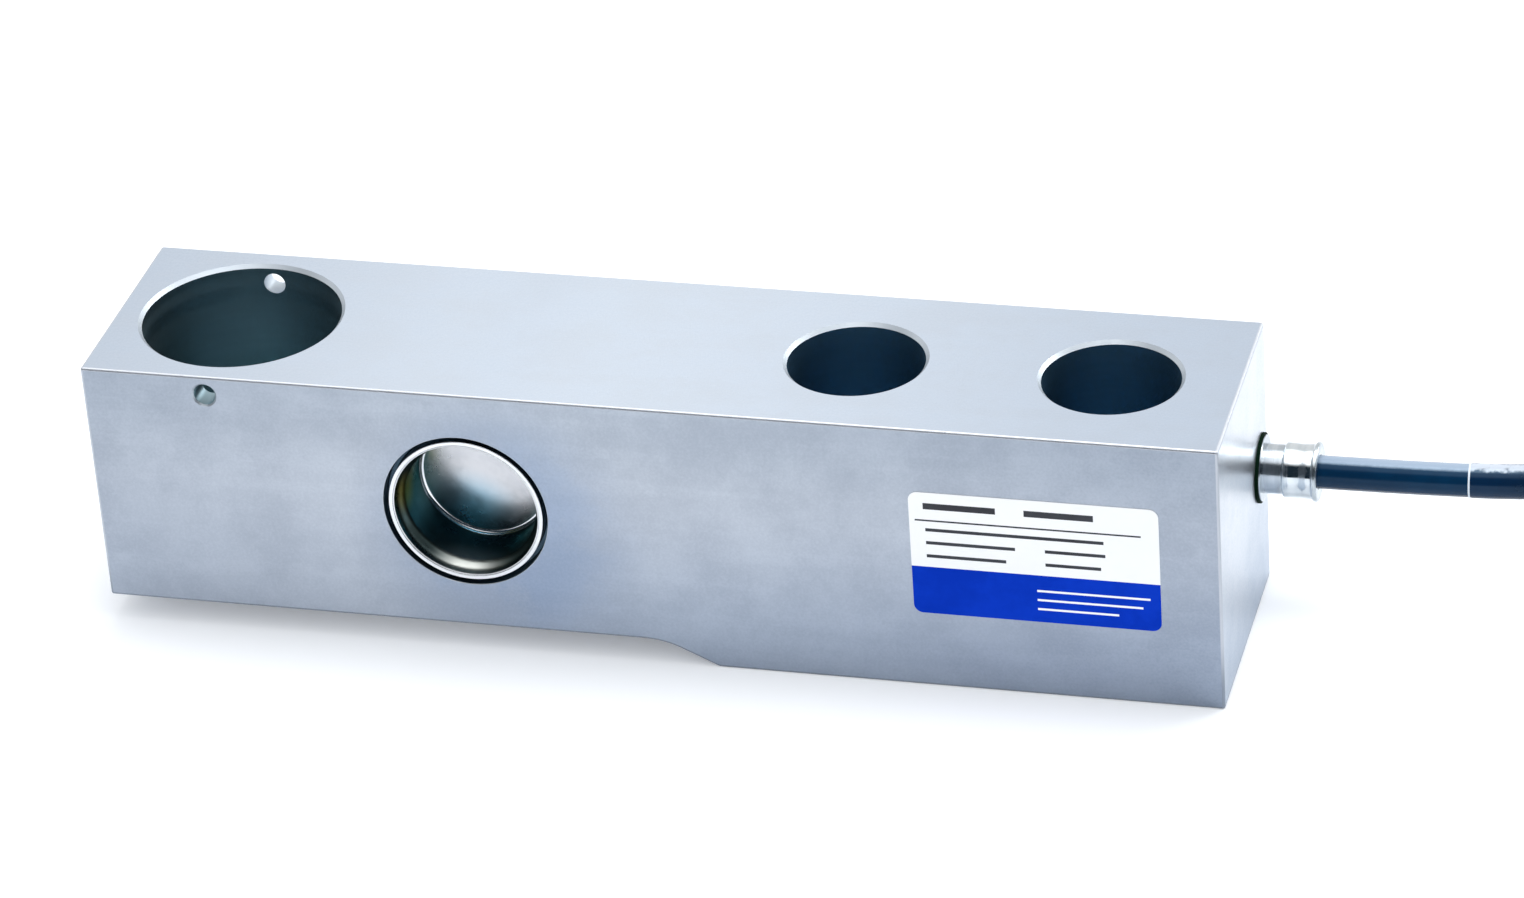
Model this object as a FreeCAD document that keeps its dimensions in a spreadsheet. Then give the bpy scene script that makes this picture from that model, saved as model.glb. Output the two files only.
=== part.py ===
import FreeCAD, Part
import math
import os
import Sketcher
from FreeCAD import Placement, Rotation, Vector

# Shear-beam weighing load cell, in millimetres.
# The origin is the middle of the beam on the plane of the mounting pad.
# +X runs along the beam to the cable end, +Y to the rear face, +Z up to the face with the load bore.

os.makedirs("parts", exist_ok=True)
doc = FreeCAD.newDocument("LoadCell")

# Driving dimensions

SIZES = (
    # beam
    ("beam_length", 171.5, "overall length of the beam"),
    ("beam_width", 37.5, "front face to rear face"),
    ("beam_height", 43.7, "mounting pad to top face"),
    ("pad_length", 76.1, "length of the mounting pad along the beam"),
    ("relief_height", 3.9, "step that lifts the free end clear of the base"),
    ("relief_radius", 14.0, "radius where the relief turns down into its ramp"),
    ("relief_ramp", 25.0, "slope of the ramp from the relief to the pad in degrees"),
    ("edge_break", 0.4, "chamfer on the outer edges"),
    ("mouth_chamfer", 0.55, "chamfer at the mouths of the large holes"),
    # load end
    ("load_bore", 30.2, "diameter of the blind load bore"),
    ("load_bore_depth", 28.0, "depth of the load bore"),
    ("load_bore_inset", 19.2, "free end to the load bore's axis"),
    ("bore_floor_chamfer", 1.0, "chamfer round the floor of the load bore"),
    ("pin_hole", 3.4, "diameter of the cross hole for the retaining pin"),
    ("pin_hole_drop", 3.1, "top face to the cross hole's axis"),
    ("pin_hole_chamfer", 0.25, "chamfer at both mouths of the cross hole"),
    # mounting end
    ("mount_hole", 20.5, "diameter of the two mounting holes"),
    ("mount_hole_inset", 19.1, "cable end to the nearer mounting hole's axis"),
    ("mount_hole_pitch", 38.1, "distance between the mounting holes"),
    # gauge pockets
    ("pocket_inset", 58.1, "free end to the gauge pockets' axis"),
    ("pocket_bore", 22.9, "diameter of each gauge pocket"),
    ("pocket_chamfer", 1.0, "chamfer between pocket wall and web"),
    ("web_thickness", 9.5, "shear web between the two pockets"),
    ("weld_lip", 0.42, "thickness of the lip that the sealing cup is welded to"),
    ("weld_lip_drop", 0.5, "face of the beam to the top of the lip"),
    ("relief_groove", 0.8, "width of the groove round the lip"),
    ("relief_groove_depth", 2.6, "depth of the groove round the lip"),
    ("web_hole", 2.2, "diameter of the wire hole through the web"),
    ("web_hole_inset", 7.4, "pocket axis to the wire hole's axis"),
    # sealing cups
    ("cup_wall", 0.4, "sheet thickness of the sealing cups"),
    ("cup_clearance", 3.1, "shear web to the underside of the cup's floor"),
    ("cup_floor", 20.2, "inside diameter of the cup at its floor"),
    ("cup_corner", 1.0, "inside radius between wall and floor"),
    ("cup_corner_chamfer", 0.8, "chamfer of the same corner on the hidden side"),
    ("cup_shoulder_top", 1.3, "depth at which the wall starts to draw in"),
    ("cup_shoulder_end", 2.7, "depth at which the wall runs straight again"),
    ("weld_bead_drop", 0.12, "face of the beam to the top of the weld bead"),
    ("weld_bead_chamfer", 0.15, "chamfer of the weld bead's two edges"),
    # strain gauges and their wiring
    ("carrier_width", 8.4, "gauge carrier along the beam"),
    ("carrier_height", 6.4, "gauge carrier across the beam"),
    ("carrier_thickness", 0.1, "gauge carrier film with its adhesive"),
    ("foil_thickness", 0.05, "gauge foil"),
    ("strand_length", 2.6, "length of a foil strand"),
    ("strand_width", 0.16, "width of a foil strand"),
    ("strand_gap", 0.14, "gap between foil strands"),
    ("grid_spacing", 4.0, "distance between the middles of the two foil grids"),
    ("terminal_width", 6.6, "solder terminal strip along the beam"),
    ("terminal_height", 2.8, "solder terminal strip across the beam"),
    ("terminal_thickness", 0.2, "solder terminal strip"),
    ("terminal_rise", 6.0, "pocket axis to the middle of the terminal strip"),
    ("solder_dot", 0.9, "diameter of a solder dot"),
    ("solder_height", 0.3, "height of a solder dot"),
    ("solder_pitch", 1.5, "distance between solder dots in a row"),
    ("solder_row", 1.3, "distance between the two rows of solder dots"),
    ("board_width", 9.4, "compensation board along the beam"),
    ("board_height", 3.8, "compensation board across the beam"),
    ("board_thickness", 0.8, "compensation board"),
    ("board_drop", 7.2, "pocket axis to the middle of the board"),
    ("chip_width", 1.2, "chip resistor along the beam"),
    ("chip_height", 2.0, "chip resistor across the beam"),
    ("chip_thickness", 0.5, "chip resistor"),
    ("chip_pitch", 2.6, "distance between chip resistors"),
    ("sleeve_bore", 1.5, "inside diameter of the insulating sleeve in the web"),
    ("sleeve_reach", 0.3, "how far the sleeve stands out of the web"),
    ("bridge_wire", 0.4, "diameter of the wires that join the two gauges"),
    ("core_wire", 0.7, "diameter of the cable's cores inside the beam"),
    ("core_gap", 0.03, "gap between cores that lie side by side"),
    ("core_bend", 1.0, "largest bend radius of the cores and leads inside the beam"),
    ("gauge_lead", 0.16, "diameter of the leads between foil and solder dots"),
    # cable entry
    ("gland_inset", 5.35, "rear face to the gland's axis"),
    ("gland_height", 21.85, "mounting pad to the gland's axis"),
    ("channel", 3.2, "diameter of the wiring channel"),
    ("port_bore", 8.0, "diameter of the gland's port in the cable end"),
    ("port_depth", 6.5, "depth of the port"),
    ("port_point", 59.0, "half angle of the drill point in degrees"),
    ("gland_neck", 7.5, "diameter of the gland between beam and ferrule"),
    ("gland_neck_length", 3.7, "length of the gland's neck"),
    ("gland_spigot", 6.9, "diameter of the gland inside the ferrule"),
    ("gland_spigot_length", 2.6, "length of the gland inside the ferrule"),
    ("gland_bore", 6.0, "bore of the gland"),
    ("gland_floor", 1.0, "thickness of the gland's inner end"),
    ("gland_core_hole", 2.8, "hole for the cores in the gland's inner end"),
    ("ferrule", 8.3, "outside diameter of the crimp ferrule"),
    ("ferrule_length", 5.2, "length of the crimp ferrule"),
    ("ferrule_lip", 8.9, "diameter of the ferrule's rolled lip"),
    ("ferrule_lip_length", 0.9, "length of the ferrule's rolled lip"),
    ("crimp_groove", 0.18, "depth of the crimped groove in the ferrule"),
    ("seal_ring", 10.6, "outside diameter of the sealing ring"),
    ("seal_ring_thickness", 0.5, "thickness of the sealing ring"),
    ("seal_ring_chamfer", 0.15, "chamfer of the sealing ring's outer edge"),
    # cable
    ("cable", 5.0, "diameter of the cable"),
    ("cable_clearance", 0.05, "radial clearance round the cable in bush and ferrule"),
    ("jacket_inset", 3.0, "cable end of the beam to the cut end of the jacket inside the gland"),
    ("shrink_wall", 0.1, "wall of the shrink sleeve on the cable"),
    ("shrink_start", 31.1, "cable end of the beam to the near edge of the shrink sleeve"),
    ("shrink_length", 24.0, "length of the shrink sleeve"),
    ("hank_gap", 25.0, "free width inside the hank"),
    ("hank_run", 75.0, "length of the hank's straight runs"),
    ("hank_columns", 2.0, "turns of cable side by side in the hank"),
    ("hank_layers", 6.0, "layers of cable in the hank"),
    ("hank_lead", 16.0, "straight lead into and out of the hank"),
    ("hank_chamfer", 1.4, "chamfer of the hank's outline, outside the turns at its corners"),
    ("tie_width", 4.0, "width of the hank's tie"),
    ("tie_thickness", 0.35, "thickness of the hank's tie"),
    # stripped end
    ("lead_core", 1.2, "diameter of a free core with its insulation"),
    ("lead_copper", 0.7, "diameter of a core's tinned copper"),
    ("screen_twist", 0.98, "diameter of the screen's wires twisted together"),
    ("lead_length", 42.0, "length of the longest free core with its insulation"),
    ("lead_copper_length", 5.0, "bare length at the end of each core"),
    ("lead_ring", 1.5, "distance of the cores' axes from the cable's axis at the jacket's end"),
    # label
    ("label_width", 36.8, "label along the beam"),
    ("label_height", 20.6, "label across the beam"),
    ("label_thickness", 0.12, "label film"),
    ("label_corner", 1.4, "corner radius of the label"),
    ("label_end_inset", 8.9, "cable end to the label's edge"),
    ("label_top_drop", 10.4, "top face to the label's upper edge"),
)

sheet = doc.addObject("Spreadsheet::Sheet", "Sizes")
for row, (alias, value, meaning) in enumerate(SIZES, start=1):
    sheet.set(f"A{row}", alias)
    sheet.set(f"B{row}", str(value))
    sheet.set(f"C{row}", meaning)
    sheet.setAlias(f"B{row}", alias)
doc.recompute()


def size(alias):
    """Value of one driving dimension."""
    return float(sheet.get(alias))


# Places that several pieces share, as expressions of the driving dimensions

HALF_LENGTH = "Sizes.beam_length / 2"
HALF_WIDTH = "Sizes.beam_width / 2"
TOP = "Sizes.beam_height"
LOAD_X = "Sizes.load_bore_inset - Sizes.beam_length / 2"
POCKET_X = "Sizes.pocket_inset - Sizes.beam_length / 2"
POCKET_Z = "Sizes.beam_height / 2 + Sizes.relief_height / 2"
POCKET_R = "Sizes.pocket_bore / 2"
LIP_R = "Sizes.pocket_bore / 2 + Sizes.weld_lip"
HALF_WEB = "Sizes.web_thickness / 2"
CUP_DEPTH = f"{HALF_WIDTH} - {HALF_WEB} - Sizes.cup_clearance - Sizes.cup_wall"
GLAND_Y = f"{HALF_WIDTH} - Sizes.gland_inset"
CABLE_R = "Sizes.cable / 2"
BUSH_R = "Sizes.cable / 2 + Sizes.cable_clearance"


def value_of(expression):
    """Number that an expression of the driving dimensions gives."""
    return float(sheet.evalExpression(expression.replace("Sizes.", "")))


# Sketches and bodies

def new_body(label):
    """Empty body whose label is the name of the piece."""
    body = doc.addObject("PartDesign::Body", label)
    body.Label = label
    return body


def origin_feature(body, role):
    """Origin plane or axis of a body, by its role."""
    return next(item for item in body.Origin.OriginFeatures if item.Role == role)


def new_sketch(body, name, role, right="0", up="0", out="0"):
    """Sketch on an origin plane, moved in that plane by right and up, and along its normal by out."""
    sketch = body.newObject("Sketcher::SketchObject", name)
    sketch.AttachmentSupport = [(origin_feature(body, role), "")]
    sketch.MapMode = "FlatFace"
    for axis, expression in zip("xyz", (right, up, out)):
        if expression != "0":
            sketch.setExpression(f"AttachmentOffset.Base.{axis}", expression)
    return sketch


def pin_point(sketch, name, edge, end, place):
    """Fix one end of an edge at a place that is given as two expressions."""
    for kind, axis, expression in zip(("DistanceX", "DistanceY"), "xy", place):
        value = value_of(expression)
        index = sketch.addConstraint(Sketcher.Constraint(kind, -1, 1, edge, end, value))
        sketch.renameConstraint(index, name + axis)
        sketch.setExpression(f"Constraints.{name}{axis}", expression)


def outline(sketch, places, arcs=None):
    """Closed outline through places; arcs gives a radius and a centre for the edges that are round.

    An arc's entry is keyed by the index of the place where it starts. Its radius is an
    expression, and so are the two coordinates of its centre, which only choose the side.
    """
    arcs = arcs or {}
    points = [Vector(value_of(x), value_of(y), 0) for x, y in places]
    ends = []
    for index, start in enumerate(points):
        finish = points[(index + 1) % len(points)]
        if index not in arcs:
            sketch.addGeometry(Part.LineSegment(start, finish))
            ends.append((1, 2))
            continue
        radius, centre_place = arcs[index]
        centre = Vector(*[value_of(item) for item in centre_place], 0)
        middle = ((start + finish) * 0.5 - centre).normalize() * value_of(radius) + centre
        sketch.addGeometry(Part.Arc(start, middle, finish))
        leftwards = (start - centre).cross(finish - centre).z > 0
        ends.append((1, 2) if leftwards else (2, 1))
    for index in range(len(points)):
        after = (index + 1) % len(points)
        sketch.addConstraint(
            Sketcher.Constraint("Coincident", index, ends[index][1], after, ends[after][0]))
        pin_point(sketch, f"p{index}", index, ends[index][0], places[index])
        if index in arcs:
            radius = arcs[index][0]
            number = sketch.addConstraint(Sketcher.Constraint("Radius", index, value_of(radius)))
            sketch.renameConstraint(number, f"r{index}")
            sketch.setExpression(f"Constraints.r{index}", radius)
    return sketch


def circle(sketch, right, up, diameter):
    """Circle at a place of the sketch, with its diameter as an expression."""
    centre = Vector(value_of(right), value_of(up), 0)
    edge = sketch.addGeometry(Part.Circle(centre, Vector(0, 0, 1), value_of(diameter) / 2))
    pin_point(sketch, f"c{edge}", edge, 3, (right, up))
    number = sketch.addConstraint(Sketcher.Constraint("Diameter", edge, value_of(diameter)))
    sketch.renameConstraint(number, f"d{edge}")
    sketch.setExpression(f"Constraints.d{edge}", diameter)
    return sketch


def rectangle(sketch, width, height, right="0", up="0"):
    """Rectangle about a place of the sketch."""
    left, low = f"({right}) - ({width}) / 2", f"({up}) - ({height}) / 2"
    far, high = f"({right}) + ({width}) / 2", f"({up}) + ({height}) / 2"
    return outline(sketch, [(left, low), (far, low), (far, high), (left, high)])


def turned(body, kind, sketch, name, axis):
    """Full turn of a sketch about one of its own axes: a Revolution or a Groove."""
    feature = body.newObject(f"PartDesign::{kind}", name)
    feature.Profile = sketch
    feature.ReferenceAxis = (sketch, [axis])
    feature.Angle = 360
    return feature


def extruded(body, kind, sketch, name, length, both_ways=False, flipped=False):
    """Pad or Pocket of a sketch over a length."""
    feature = body.newObject(f"PartDesign::{kind}", name)
    feature.Profile = sketch
    feature.SideType = "Symmetric" if both_ways else "One side"
    feature.Reversed = flipped
    feature.setExpression("Length", length)
    return feature


def volume_must(change, body, feature, before):
    """Recompute, and stop if a cut took nothing away or an addition added nothing."""
    doc.recompute()
    after = feature.Shape.Volume
    if (after - before) * change <= 0:
        raise RuntimeError(f"{body.Label}: {feature.Label} changed the volume from {before} to {after}")
    return after


def row_of(body, original, name, axis_role, pitch, count):
    """Linear pattern of one feature along an origin axis."""
    pattern = body.newObject("PartDesign::LinearPattern", name)
    pattern.Originals = [original]
    pattern.Direction = (origin_feature(body, axis_role), [""])
    pattern.Occurrences = count
    pattern.setExpression("Length", f"({pitch}) * {count - 1}")
    body.Tip = pattern
    return pattern


def placed(body, x, y, z, turn=0.0):
    """Put a piece at a place given as expressions, turned about Z by degrees."""
    body.Placement = Placement(Vector(), Rotation(Vector(0, 0, 1), turn))
    for axis, expression in zip("xyz", (x, y, z)):
        body.setExpression(f"Placement.Base.{axis}", expression)
    return body


def add_feature(label, shape):
    """Piece whose shape is worked out in code."""
    feature = doc.addObject("Part::Feature", label)
    feature.Label = label
    feature.Shape = shape
    return feature


# The beam: one machined block

def make_beam():
    """Block with raised free end, load bore, cross hole, mounting holes, gauge pockets and wiring holes."""
    body = new_body("beam_body")
    pad_corner = f"{HALF_LENGTH} - Sizes.pad_length"
    slope = "Sizes.relief_ramp * 1 deg"
    ramp_top_z = f"Sizes.relief_height - Sizes.relief_radius * (1 - cos({slope}))"
    ramp_top_x = f"{pad_corner} - ({ramp_top_z}) / tan({slope})"
    relief_start = f"{ramp_top_x} - Sizes.relief_radius * sin({slope})"

    side = outline(
        new_sketch(body, "beam_side", "XZ_Plane"),
        [
            (f"-{HALF_LENGTH}", "Sizes.relief_height"),
            (relief_start, "Sizes.relief_height"),
            (ramp_top_x, ramp_top_z),
            (pad_corner, "0"),
            (HALF_LENGTH, "0"),
            (HALF_LENGTH, TOP),
            (f"-{HALF_LENGTH}", TOP),
        ],
        {1: ("Sizes.relief_radius", (relief_start, "Sizes.relief_height - Sizes.relief_radius"))},
    )
    block = extruded(body, "Pad", side, "beam_block", "Sizes.beam_width", both_ways=True)
    volume = volume_must(1, body, block, 0)

    broken = body.newObject("PartDesign::Chamfer", "broken_edges")
    broken.Base = (block, [""])
    broken.UseAllEdges = True
    broken.setExpression("Size", "Sizes.edge_break")
    volume = volume_must(-1, body, broken, volume)

    load_r = "Sizes.load_bore / 2"
    floor_z = f"{TOP} - Sizes.load_bore_depth"
    profile = outline(
        new_sketch(body, "load_bore_profile", "XZ_Plane", right=LOAD_X),
        [
            ("0", floor_z),
            (f"{load_r} - Sizes.bore_floor_chamfer", floor_z),
            (load_r, f"{floor_z} + Sizes.bore_floor_chamfer"),
            (load_r, f"{TOP} - Sizes.mouth_chamfer"),
            (f"{load_r} + Sizes.mouth_chamfer", TOP),
            (f"{load_r} + Sizes.mouth_chamfer", f"{TOP} + 1"),
            ("0", f"{TOP} + 1"),
        ],
    )
    volume = volume_must(-1, body, turned(body, "Groove", profile, "load_bore", "V_Axis"), volume)

    pin_r = "Sizes.pin_hole / 2"
    pin_mouth = f"{pin_r} + Sizes.pin_hole_chamfer"
    profile = outline(
        new_sketch(body, "pin_hole_profile", "XY_Plane", right=LOAD_X, out=f"{TOP} - Sizes.pin_hole_drop"),
        [
            ("0", f"-{HALF_WIDTH} - 1"),
            (pin_mouth, f"-{HALF_WIDTH} - 1"),
            (pin_mouth, f"-{HALF_WIDTH}"),
            (pin_r, f"Sizes.pin_hole_chamfer - {HALF_WIDTH}"),
            (pin_r, f"{HALF_WIDTH} - Sizes.pin_hole_chamfer"),
            (pin_mouth, HALF_WIDTH),
            (pin_mouth, f"{HALF_WIDTH} + 1"),
            ("0", f"{HALF_WIDTH} + 1"),
        ],
    )
    volume = volume_must(-1, body, turned(body, "Groove", profile, "pin_hole", "V_Axis"), volume)

    mount_r = "Sizes.mount_hole / 2"
    mount_mouth = f"{mount_r} + Sizes.mouth_chamfer"
    inner_hole_x = f"{HALF_LENGTH} - Sizes.mount_hole_inset - Sizes.mount_hole_pitch"
    profile = outline(
        new_sketch(body, "mount_hole_profile", "XZ_Plane", right=inner_hole_x),
        [
            ("0", "-1"),
            (mount_mouth, "-1"),
            (mount_mouth, "0"),
            (mount_r, "Sizes.mouth_chamfer"),
            (mount_r, f"{TOP} - Sizes.mouth_chamfer"),
            (mount_mouth, TOP),
            (mount_mouth, f"{TOP} + 1"),
            ("0", f"{TOP} + 1"),
        ],
    )
    inner_hole = turned(body, "Groove", profile, "mount_hole", "V_Axis")
    volume = volume_must(-1, body, inner_hole, volume)
    holes = row_of(body, inner_hole, "mount_holes", "X_Axis", "Sizes.mount_hole_pitch", 2)
    volume = volume_must(-1, body, holes, volume)

    lip_top = f"Sizes.weld_lip_drop - {HALF_WIDTH}"
    groove_floor = f"Sizes.relief_groove_depth - {HALF_WIDTH}"
    groove_r = f"{LIP_R} + Sizes.relief_groove"
    profile = outline(
        new_sketch(body, "gauge_pocket_profile", "XY_Plane", right=POCKET_X, out=POCKET_Z),
        [
            ("0", f"-{HALF_WIDTH} - 1"),
            (groove_r, f"-{HALF_WIDTH} - 1"),
            (groove_r, groove_floor),
            (LIP_R, groove_floor),
            (LIP_R, lip_top),
            (POCKET_R, lip_top),
            (POCKET_R, f"-{HALF_WEB} - Sizes.pocket_chamfer"),
            (f"{POCKET_R} - Sizes.pocket_chamfer", f"-{HALF_WEB}"),
            ("0", f"-{HALF_WEB}"),
        ],
    )
    front_pocket = turned(body, "Groove", profile, "front_gauge_pocket", "V_Axis")
    volume = volume_must(-1, body, front_pocket, volume)
    rear_pocket = body.newObject("PartDesign::Mirrored", "rear_gauge_pocket")
    rear_pocket.Originals = [front_pocket]
    rear_pocket.MirrorPlane = (origin_feature(body, "XZ_Plane"), [""])
    body.Tip = rear_pocket
    volume = volume_must(-1, body, rear_pocket, volume)

    hole = circle(
        new_sketch(body, "web_hole_circle", "XZ_Plane"),
        f"{POCKET_X} - Sizes.web_hole_inset", POCKET_Z, "Sizes.web_hole")
    cut = extruded(body, "Pocket", hole, "web_hole", "Sizes.web_thickness * 2", both_ways=True)
    volume = volume_must(-1, body, cut, volume)

    channel_length = f"{HALF_LENGTH} - ({POCKET_X}) - {POCKET_R} + Sizes.channel * 0.4"
    hole = circle(
        new_sketch(body, "wiring_channel_circle", "YZ_Plane", out=HALF_LENGTH),
        GLAND_Y, "Sizes.gland_height", "Sizes.channel")
    cut = extruded(body, "Pocket", hole, "wiring_channel", channel_length)
    volume = volume_must(-1, body, cut, volume)

    port_r = "Sizes.port_bore / 2"
    port_floor = f"{HALF_LENGTH} - Sizes.port_depth"
    profile = outline(
        new_sketch(body, "gland_port_profile", "XZ_Plane", up="Sizes.gland_height", out=f"-({GLAND_Y})"),
        [
            (f"{HALF_LENGTH} + 1", "0"),
            (f"{HALF_LENGTH} + 1", port_r),
            (port_floor, port_r),
            (f"{port_floor} - {port_r} / tan(Sizes.port_point * 1 deg)", "0"),
        ],
    )
    port = turned(body, "Groove", profile, "gland_port", "H_Axis")
    volume_must(-1, body, port, volume)
    body.Tip = port


# The sealing cups: deep-drawn sheet, edge-welded to the lip of each pocket

def make_cup(label, face, turn):
    """Cup with a flat floor, a drawn-in wall and a weld bead that covers the pocket's lip."""
    body = new_body(label)
    rim_r = f"{POCKET_R} - Sizes.cup_wall"
    wall_r = "Sizes.cup_floor / 2"
    outer_r = f"{wall_r} + Sizes.cup_wall"
    corner_r = f"{wall_r} - Sizes.cup_corner"
    corner_y = f"{CUP_DEPTH} - Sizes.cup_corner"
    underside = f"{CUP_DEPTH} + Sizes.cup_wall"
    bead_top, bead = "Sizes.weld_bead_drop", "Sizes.weld_bead_chamfer"
    profile = outline(
        new_sketch(body, f"{label}_profile", "XY_Plane"),
        [
            ("0", CUP_DEPTH),
            (corner_r, CUP_DEPTH),
            (wall_r, corner_y),
            (wall_r, "Sizes.cup_shoulder_end"),
            (rim_r, "Sizes.cup_shoulder_top"),
            (rim_r, f"{bead_top} + {bead}"),
            (f"{rim_r} + {bead}", bead_top),
            (f"{LIP_R} - {bead}", bead_top),
            (LIP_R, f"{bead_top} + {bead}"),
            (LIP_R, "Sizes.weld_lip_drop"),
            (POCKET_R, "Sizes.weld_lip_drop"),
            (POCKET_R, "Sizes.cup_shoulder_top + Sizes.cup_wall"),
            (outer_r, "Sizes.cup_shoulder_end + Sizes.cup_wall"),
            (outer_r, f"{underside} - Sizes.cup_corner_chamfer"),
            (f"{outer_r} - Sizes.cup_corner_chamfer", underside),
            ("0", underside),
        ],
        {1: ("Sizes.cup_corner", (corner_r, corner_y))},
    )
    turned(body, "Revolution", profile, f"{label}_drawn", "V_Axis")
    placed(body, POCKET_X, face, POCKET_Z, turn)


# What is bonded to the web, built for the front and turned half round for the rear

SIDES = {"front": (f"-{HALF_WEB}", 0.0), "rear": (HALF_WEB, 180.0)}


def on_web(body, side, right="0", rise="0", stand_off="0"):
    """Seat a piece on the front or the rear of the web, moved along and across it."""
    web_face, turn = SIDES[side]
    sign = "+" if side == "front" else "-"
    outwards = "-" if side == "front" else "+"
    return placed(
        body,
        f"{POCKET_X} {sign} ({right})",
        f"{web_face} {outwards} ({stand_off})",
        f"{POCKET_Z} + ({rise})",
        turn,
    )


def make_carrier(side):
    """Film that carries the foil grids of one gauge."""
    label = f"{side}_gauge_carrier"
    body = new_body(label)
    sketch = rectangle(
        new_sketch(body, f"{label}_outline", "XZ_Plane"), "Sizes.carrier_width", "Sizes.carrier_height")
    extruded(body, "Pad", sketch, f"{label}_film", "Sizes.carrier_thickness")
    on_web(body, side)


STRANDS = 8


def tab_places():
    """Middles of a grid's two tabs before the grid is tilted: across the strands, and along them."""
    width = size("strand_width")
    half_span = (STRANDS - 1) * (width + size("strand_gap")) / 2
    return (-half_span - width / 2, half_span + width / 2), size("strand_length") / 2 + width


def make_grid(side):
    """Foil of one gauge: two serpentine grids at 45 degrees to the beam, each with its two tabs."""
    width, pitch = size("strand_width"), size("strand_width") + size("strand_gap")
    length, foil = size("strand_length"), size("foil_thickness")
    first = -pitch * (STRANDS - 1) / 2 - width / 2
    tab = 2 * width

    def foil_bar(left, low, wide, high):
        return Part.makeBox(wide, foil, high, Vector(left, -foil, low))

    bars = [foil_bar(first + pitch * n, -length / 2, width, length) for n in range(STRANDS)]
    for n in range(STRANDS - 1):
        low = -length / 2 if n % 2 == 0 else length / 2 - width
        bars.append(foil_bar(first + pitch * n, low, pitch + width, width))
    across, along = tab_places()
    bars += [foil_bar(middle - tab / 2, along - tab / 2, tab, tab) for middle in across]
    grid = bars[0].multiFuse(bars[1:]).removeSplitter()
    grids = []
    for direction in (-1, 1):
        copy = grid.copy()
        copy.rotate(Vector(), Vector(0, 1, 0), 45 * direction)
        copy.translate(Vector(direction * size("grid_spacing") / 2, 0, 0))
        grids.append(copy)
    feature = add_feature(f"{side}_gauge_grid", Part.makeCompound(grids))
    on_web(feature, side, stand_off="Sizes.carrier_thickness")


DOTS = 4


def dot_place(index, row):
    """Across and up from the pocket's axis to one solder dot: row -1 is the lower, 1 the upper."""
    across = (index - (DOTS - 1) / 2) * size("solder_pitch")
    return across, size("terminal_rise") + row * size("solder_row") / 2


def make_terminals(side):
    """Bonded strip with two rows of solder dots."""
    label = f"{side}_solder_terminals"
    body = new_body(label)
    sketch = rectangle(
        new_sketch(body, f"{label}_outline", "XZ_Plane"), "Sizes.terminal_width", "Sizes.terminal_height")
    extruded(body, "Pad", sketch, f"{label}_strip", "Sizes.terminal_thickness")
    top = "-Sizes.terminal_thickness"
    sketch = outline(
        new_sketch(
            body, f"{label}_dot_profile", "XY_Plane",
            right=f"-Sizes.solder_pitch * {(DOTS - 1) / 2}", out="-Sizes.solder_row / 2"),
        [
            ("0", f"{top} - Sizes.solder_height"),
            ("Sizes.solder_dot / 4", f"{top} - Sizes.solder_height"),
            ("Sizes.solder_dot / 2", top),
            ("0", top),
        ],
    )
    dot = turned(body, "Revolution", sketch, f"{label}_dot", "V_Axis")
    doc.recompute()
    dots = row_of(body, dot, f"{label}_dots", "X_Axis", "Sizes.solder_pitch", DOTS)
    dots.Direction2 = (origin_feature(body, "Z_Axis"), [""])
    dots.Occurrences2 = 2
    dots.setExpression("Length2", "Sizes.solder_row")
    on_web(body, side, rise="Sizes.terminal_rise")


def make_board():
    """Small compensation board below the rear gauge, its lower corners cut to clear the pocket."""
    body = new_body("compensation_board")
    half, high = "Sizes.board_width / 2", "Sizes.board_height / 2"
    cut = "Sizes.board_height / 4"
    sketch = outline(
        new_sketch(body, "board_outline", "XZ_Plane"),
        [
            (f"{cut} - {half}", f"-{high}"),
            (f"{half} - {cut}", f"-{high}"),
            (half, f"{cut} - {high}"),
            (half, high),
            (f"-{half}", high),
            (f"-{half}", f"{cut} - {high}"),
        ],
    )
    extruded(body, "Pad", sketch, "board_laminate", "Sizes.board_thickness")
    on_web(body, "rear", rise="-Sizes.board_drop")


def make_chips():
    """Three chip resistors on the board."""
    count = 3
    body = new_body("trim_resistors")
    first_x = f"-Sizes.chip_pitch * {(count - 1) / 2}"
    sketch = rectangle(
        new_sketch(body, "chip_outline", "XZ_Plane"), "Sizes.chip_width", "Sizes.chip_height", right=first_x)
    chip = extruded(body, "Pad", sketch, "chip", "Sizes.chip_thickness")
    doc.recompute()
    row_of(body, chip, "chips", "X_Axis", "Sizes.chip_pitch", count)
    on_web(body, "rear", rise="-Sizes.board_drop", stand_off="Sizes.board_thickness")


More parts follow.
